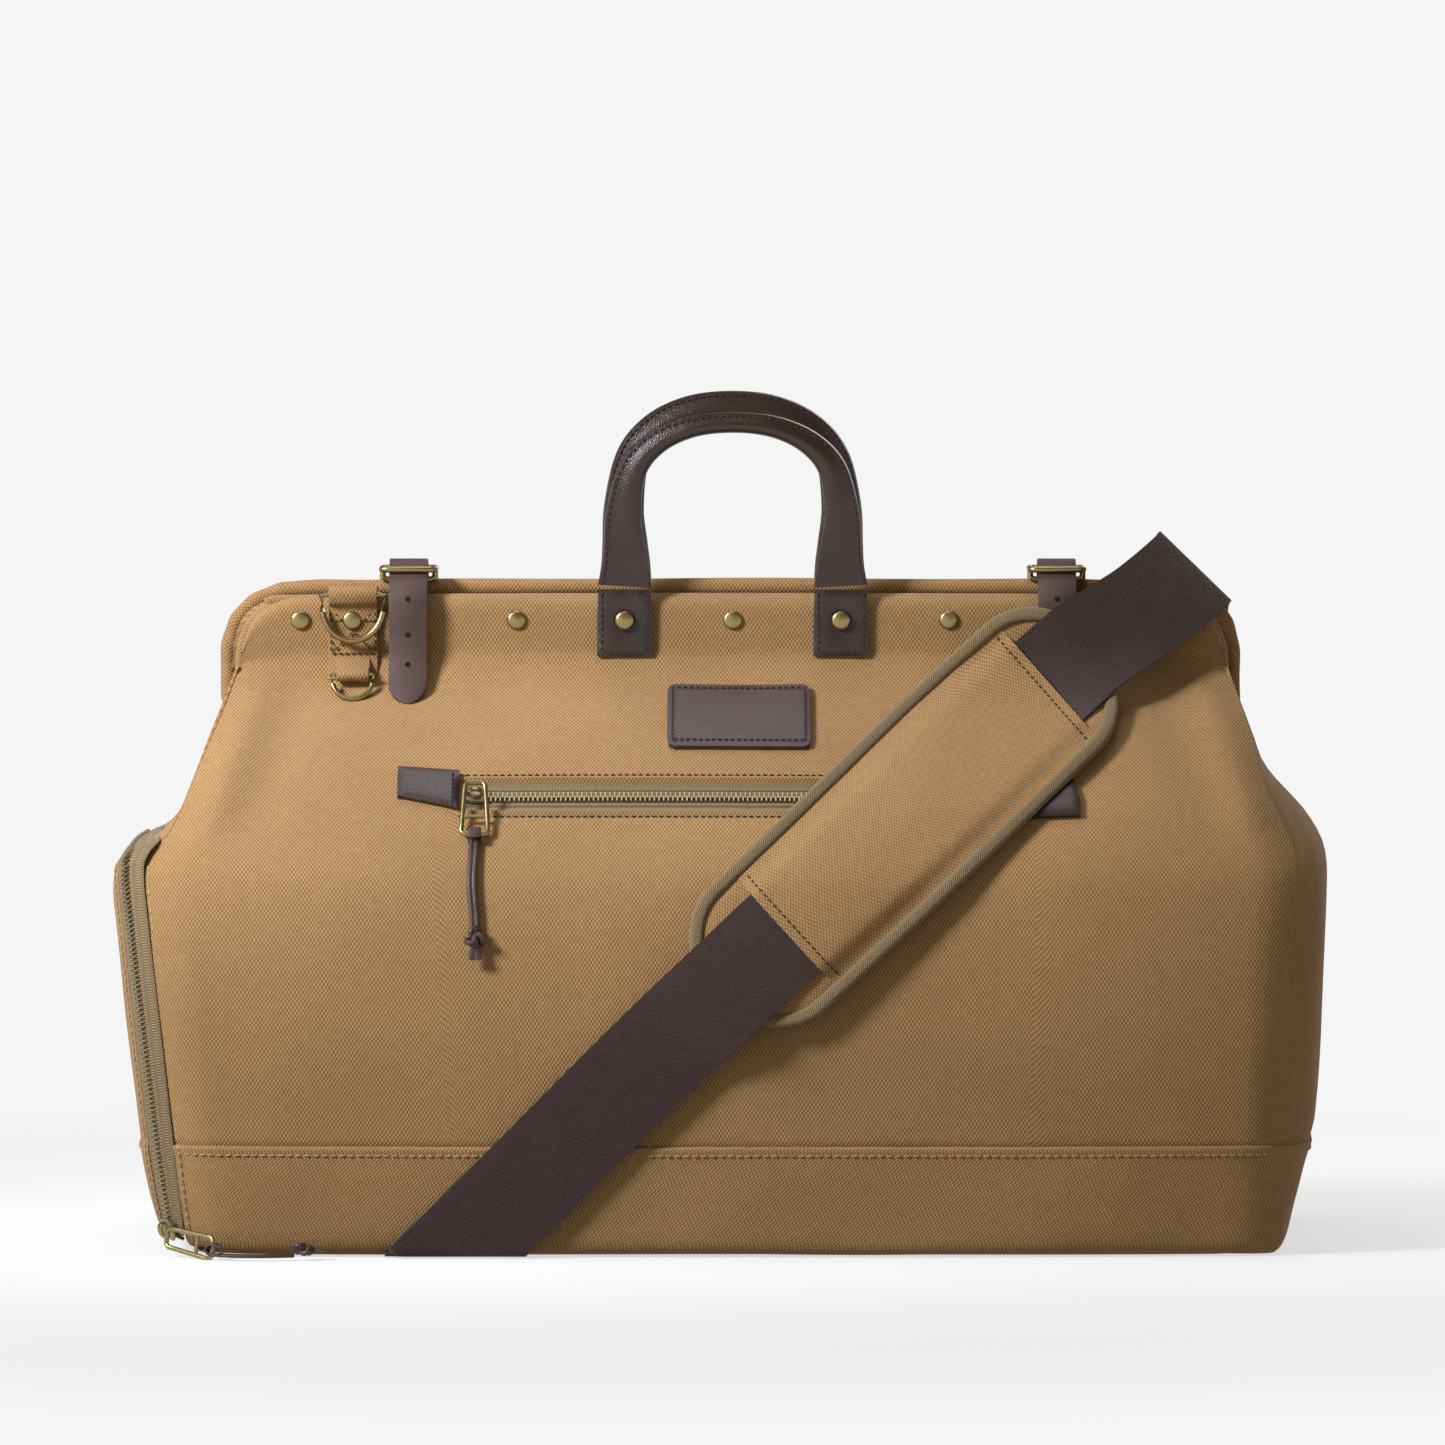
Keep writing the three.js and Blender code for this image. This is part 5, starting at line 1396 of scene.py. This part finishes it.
def make_pad():
    span = PAD_STOP - PAD_START

    def pad_level(share, spread):
        rim = max(1 - abs(spread) ** 4, 0) ** 0.5
        return 2.6 + (1.7 + 0.3 * ripple(share * 320, spread * 38, 30, 51)) * rim

    def body(u, v):
        spread = 1 - 2 * v
        return strap_point(PAD_START + span * u, (pad_half(u) - 1.5) * spread, pad_level(u, spread))

    def sleeve_level(share, spread):
        """The sleeve lies over the webbing and comes down to the pad at its sides."""
        over_web = 7.9 - 4.2 * ease(0.66, 0.95, abs(spread)) + 0.7 * (1 - spread * spread)
        return over_web + 0.45 * ripple(share * 430, spread * 34, 42, 52)

    def sleeve(u, v):
        spread = 1 - 2 * v
        share = SLEEVE_START + (SLEEVE_STOP - SLEEVE_START) * u
        return strap_point(share, 34.6 * spread, sleeve_level(share, spread))

    pieces = [grid("pad_cloth", body, 80, 24, 2.4, "canvas"), grid("pad_sleeve", sleeve, 60, 24, 1.3, "canvas")]
    shares = [0.5 - 0.5 * math.cos(math.pi * k / 90) for k in range(91)]
    loop = [(share, pad_half(share)) for share in shares] + [(share, -pad_half(share)) for share in reversed(shares)]
    clean = []
    for share, half in loop:
        p = strap_point(PAD_START + span * share, half, 2.9)
        if not clean or (p - clean[-1]).length > 1.2:
            clean.append(p)
    if (clean[0] - clean[-1]).length < 1.2:
        clean.pop()
    frames = []
    up = V((0, -1, 0.35)).normalized()
    for k, p in enumerate(clean):
        ahead = (clean[(k + 1) % len(clean)] - clean[k - 1]).normalized()
        across = ahead.cross(up).normalized()
        frames.append((p, across, ahead.cross(across), ahead))
    pieces.append(sweep("pad_binding", frames, lambda _: rounded(7.2, 5.0, 2.2, 3), "tape", loop=True))
    for share in (SLEEVE_START + 0.010, SLEEVE_STOP - 0.010):
        path = []
        for k in range(24):
            spread = -0.96 + 1.92 * k / 23
            path.append(strap_point(share, 34.6 * spread, sleeve_level(share, spread) + 0.15))
        pieces.append(thread_row("stitch", path, lambda p: V((0, -1, 0.3)).normalized(), "brown_thread", 2.3, 1.1,
                                 0.9))
    pad = merge("shoulder_pad", pieces)
    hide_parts("strap_pad")
    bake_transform(pad)


# ---------- plain pieces, and the order of the work ----------
def dress_frame_nodes():
    """The plain pieces that keep their CAD shapes get the scene's materials."""
    for node, material in (
        ("shoe_partition", "lining"), ("base_board", "board"), ("hinge_pin_left", "frame_steel"),
        ("hinge_pin_right", "frame_steel"),
        ("strap_ring_tab_left", "strap_leather"), ("strap_ring_tab_right", "strap_leather"),
        ("strap_ring_left", "brass"), ("strap_ring_right", "brass"),
    ):
        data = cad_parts[node].data
        data.materials.clear()
        data.materials.append(MATERIALS[material])


make_laces()
make_sliders()
make_face(-1)
make_face(1)
make_end(1, BAND_TOP + 0.2, 46)
make_end(-1, 203, 22)
make_pleats()
make_band()
make_base()
make_seam_rows()
make_shoe_compartment()
make_pocket()
make_patch()
make_rolls()
make_rivets()
make_ring_tab()
make_handle(-1, 413)
make_handle(1, 421)
for name, x in (("left", -162), ("right", 162)):
    make_closing_strap(name, x)
    make_buckle(name, x)
make_strap()
make_pad()
dress_frame_nodes()


# ---------- studio ----------
BACKDROP = rgb(0.913, 0.913, 0.913)


def make_studio():
    world = bpy.data.worlds.new("studio")
    bpy.context.scene.world = world
    world.use_nodes = True
    n = Nodes(world)
    n.tree.nodes.clear()
    height = n.add("ShaderNodeSeparateXYZ", {0: n.add("ShaderNodeTexCoord").outputs["Generated"]}).outputs[2]
    height = n.math("ABSOLUTE", height)
    sky = n.mix(n.ramp(height, 0.05, 0.2), BACKDROP, rgb(0.16, 0.13, 0.09))
    back = n.add("ShaderNodeBackground", {0: sky}).outputs[0]
    n.link(back, n.add("ShaderNodeOutputWorld").inputs[0])

    floor_material, shader, n = new_material("floor", 0.9, specular=0.0)
    place = n.place()
    reach = n.add("ShaderNodeVectorMath", {0: place}, operation="LENGTH").outputs["Value"]
    away = n.ramp(reach, 0.34, 0.95)
    n.link(n.mix(away, rgb(0.34, 0.34, 0.34), rgb(0.0, 0.0, 0.0)), shader.inputs["Base Color"])
    n.link(n.mix(away, rgb(0.64, 0.64, 0.64), BACKDROP), shader.inputs["Emission Color"])
    shader.inputs["Emission Strength"].default_value = 1.0
    bpy.ops.mesh.primitive_plane_add(size=400, location=(0, 0, -0.0005))
    floor = bpy.context.object
    floor.name = "floor"
    floor.data.materials.append(floor_material)
    floor.visible_diffuse = False

    for name, place, target, size, spread, power in (
        ("key", (-1.5, -1.02, 1.3), (-0.2, -0.05, 0.26), 0.5, 38, 3.2),
        ("top", (-0.1, 0.1, 1.8), (0, 0, 0.2), 1.0, 120, 3.5),
        ("back_fill", (0.8, 2.0, 1.2), (0, 0, 0.2), 1.2, 120, 5),
    ):
        light = bpy.data.lights.new(name, "AREA")
        light.size = size
        light.color = (0.96, 0.99, 1.08)
        light.spread = math.radians(spread)
        light.energy = power
        lamp = bpy.data.objects.new(name, light)
        bpy.context.scene.collection.objects.link(lamp)
        lamp.location = place
        lamp.rotation_euler = (V(target) - V(place)).to_track_quat("-Z", "Y").to_euler()


make_studio()
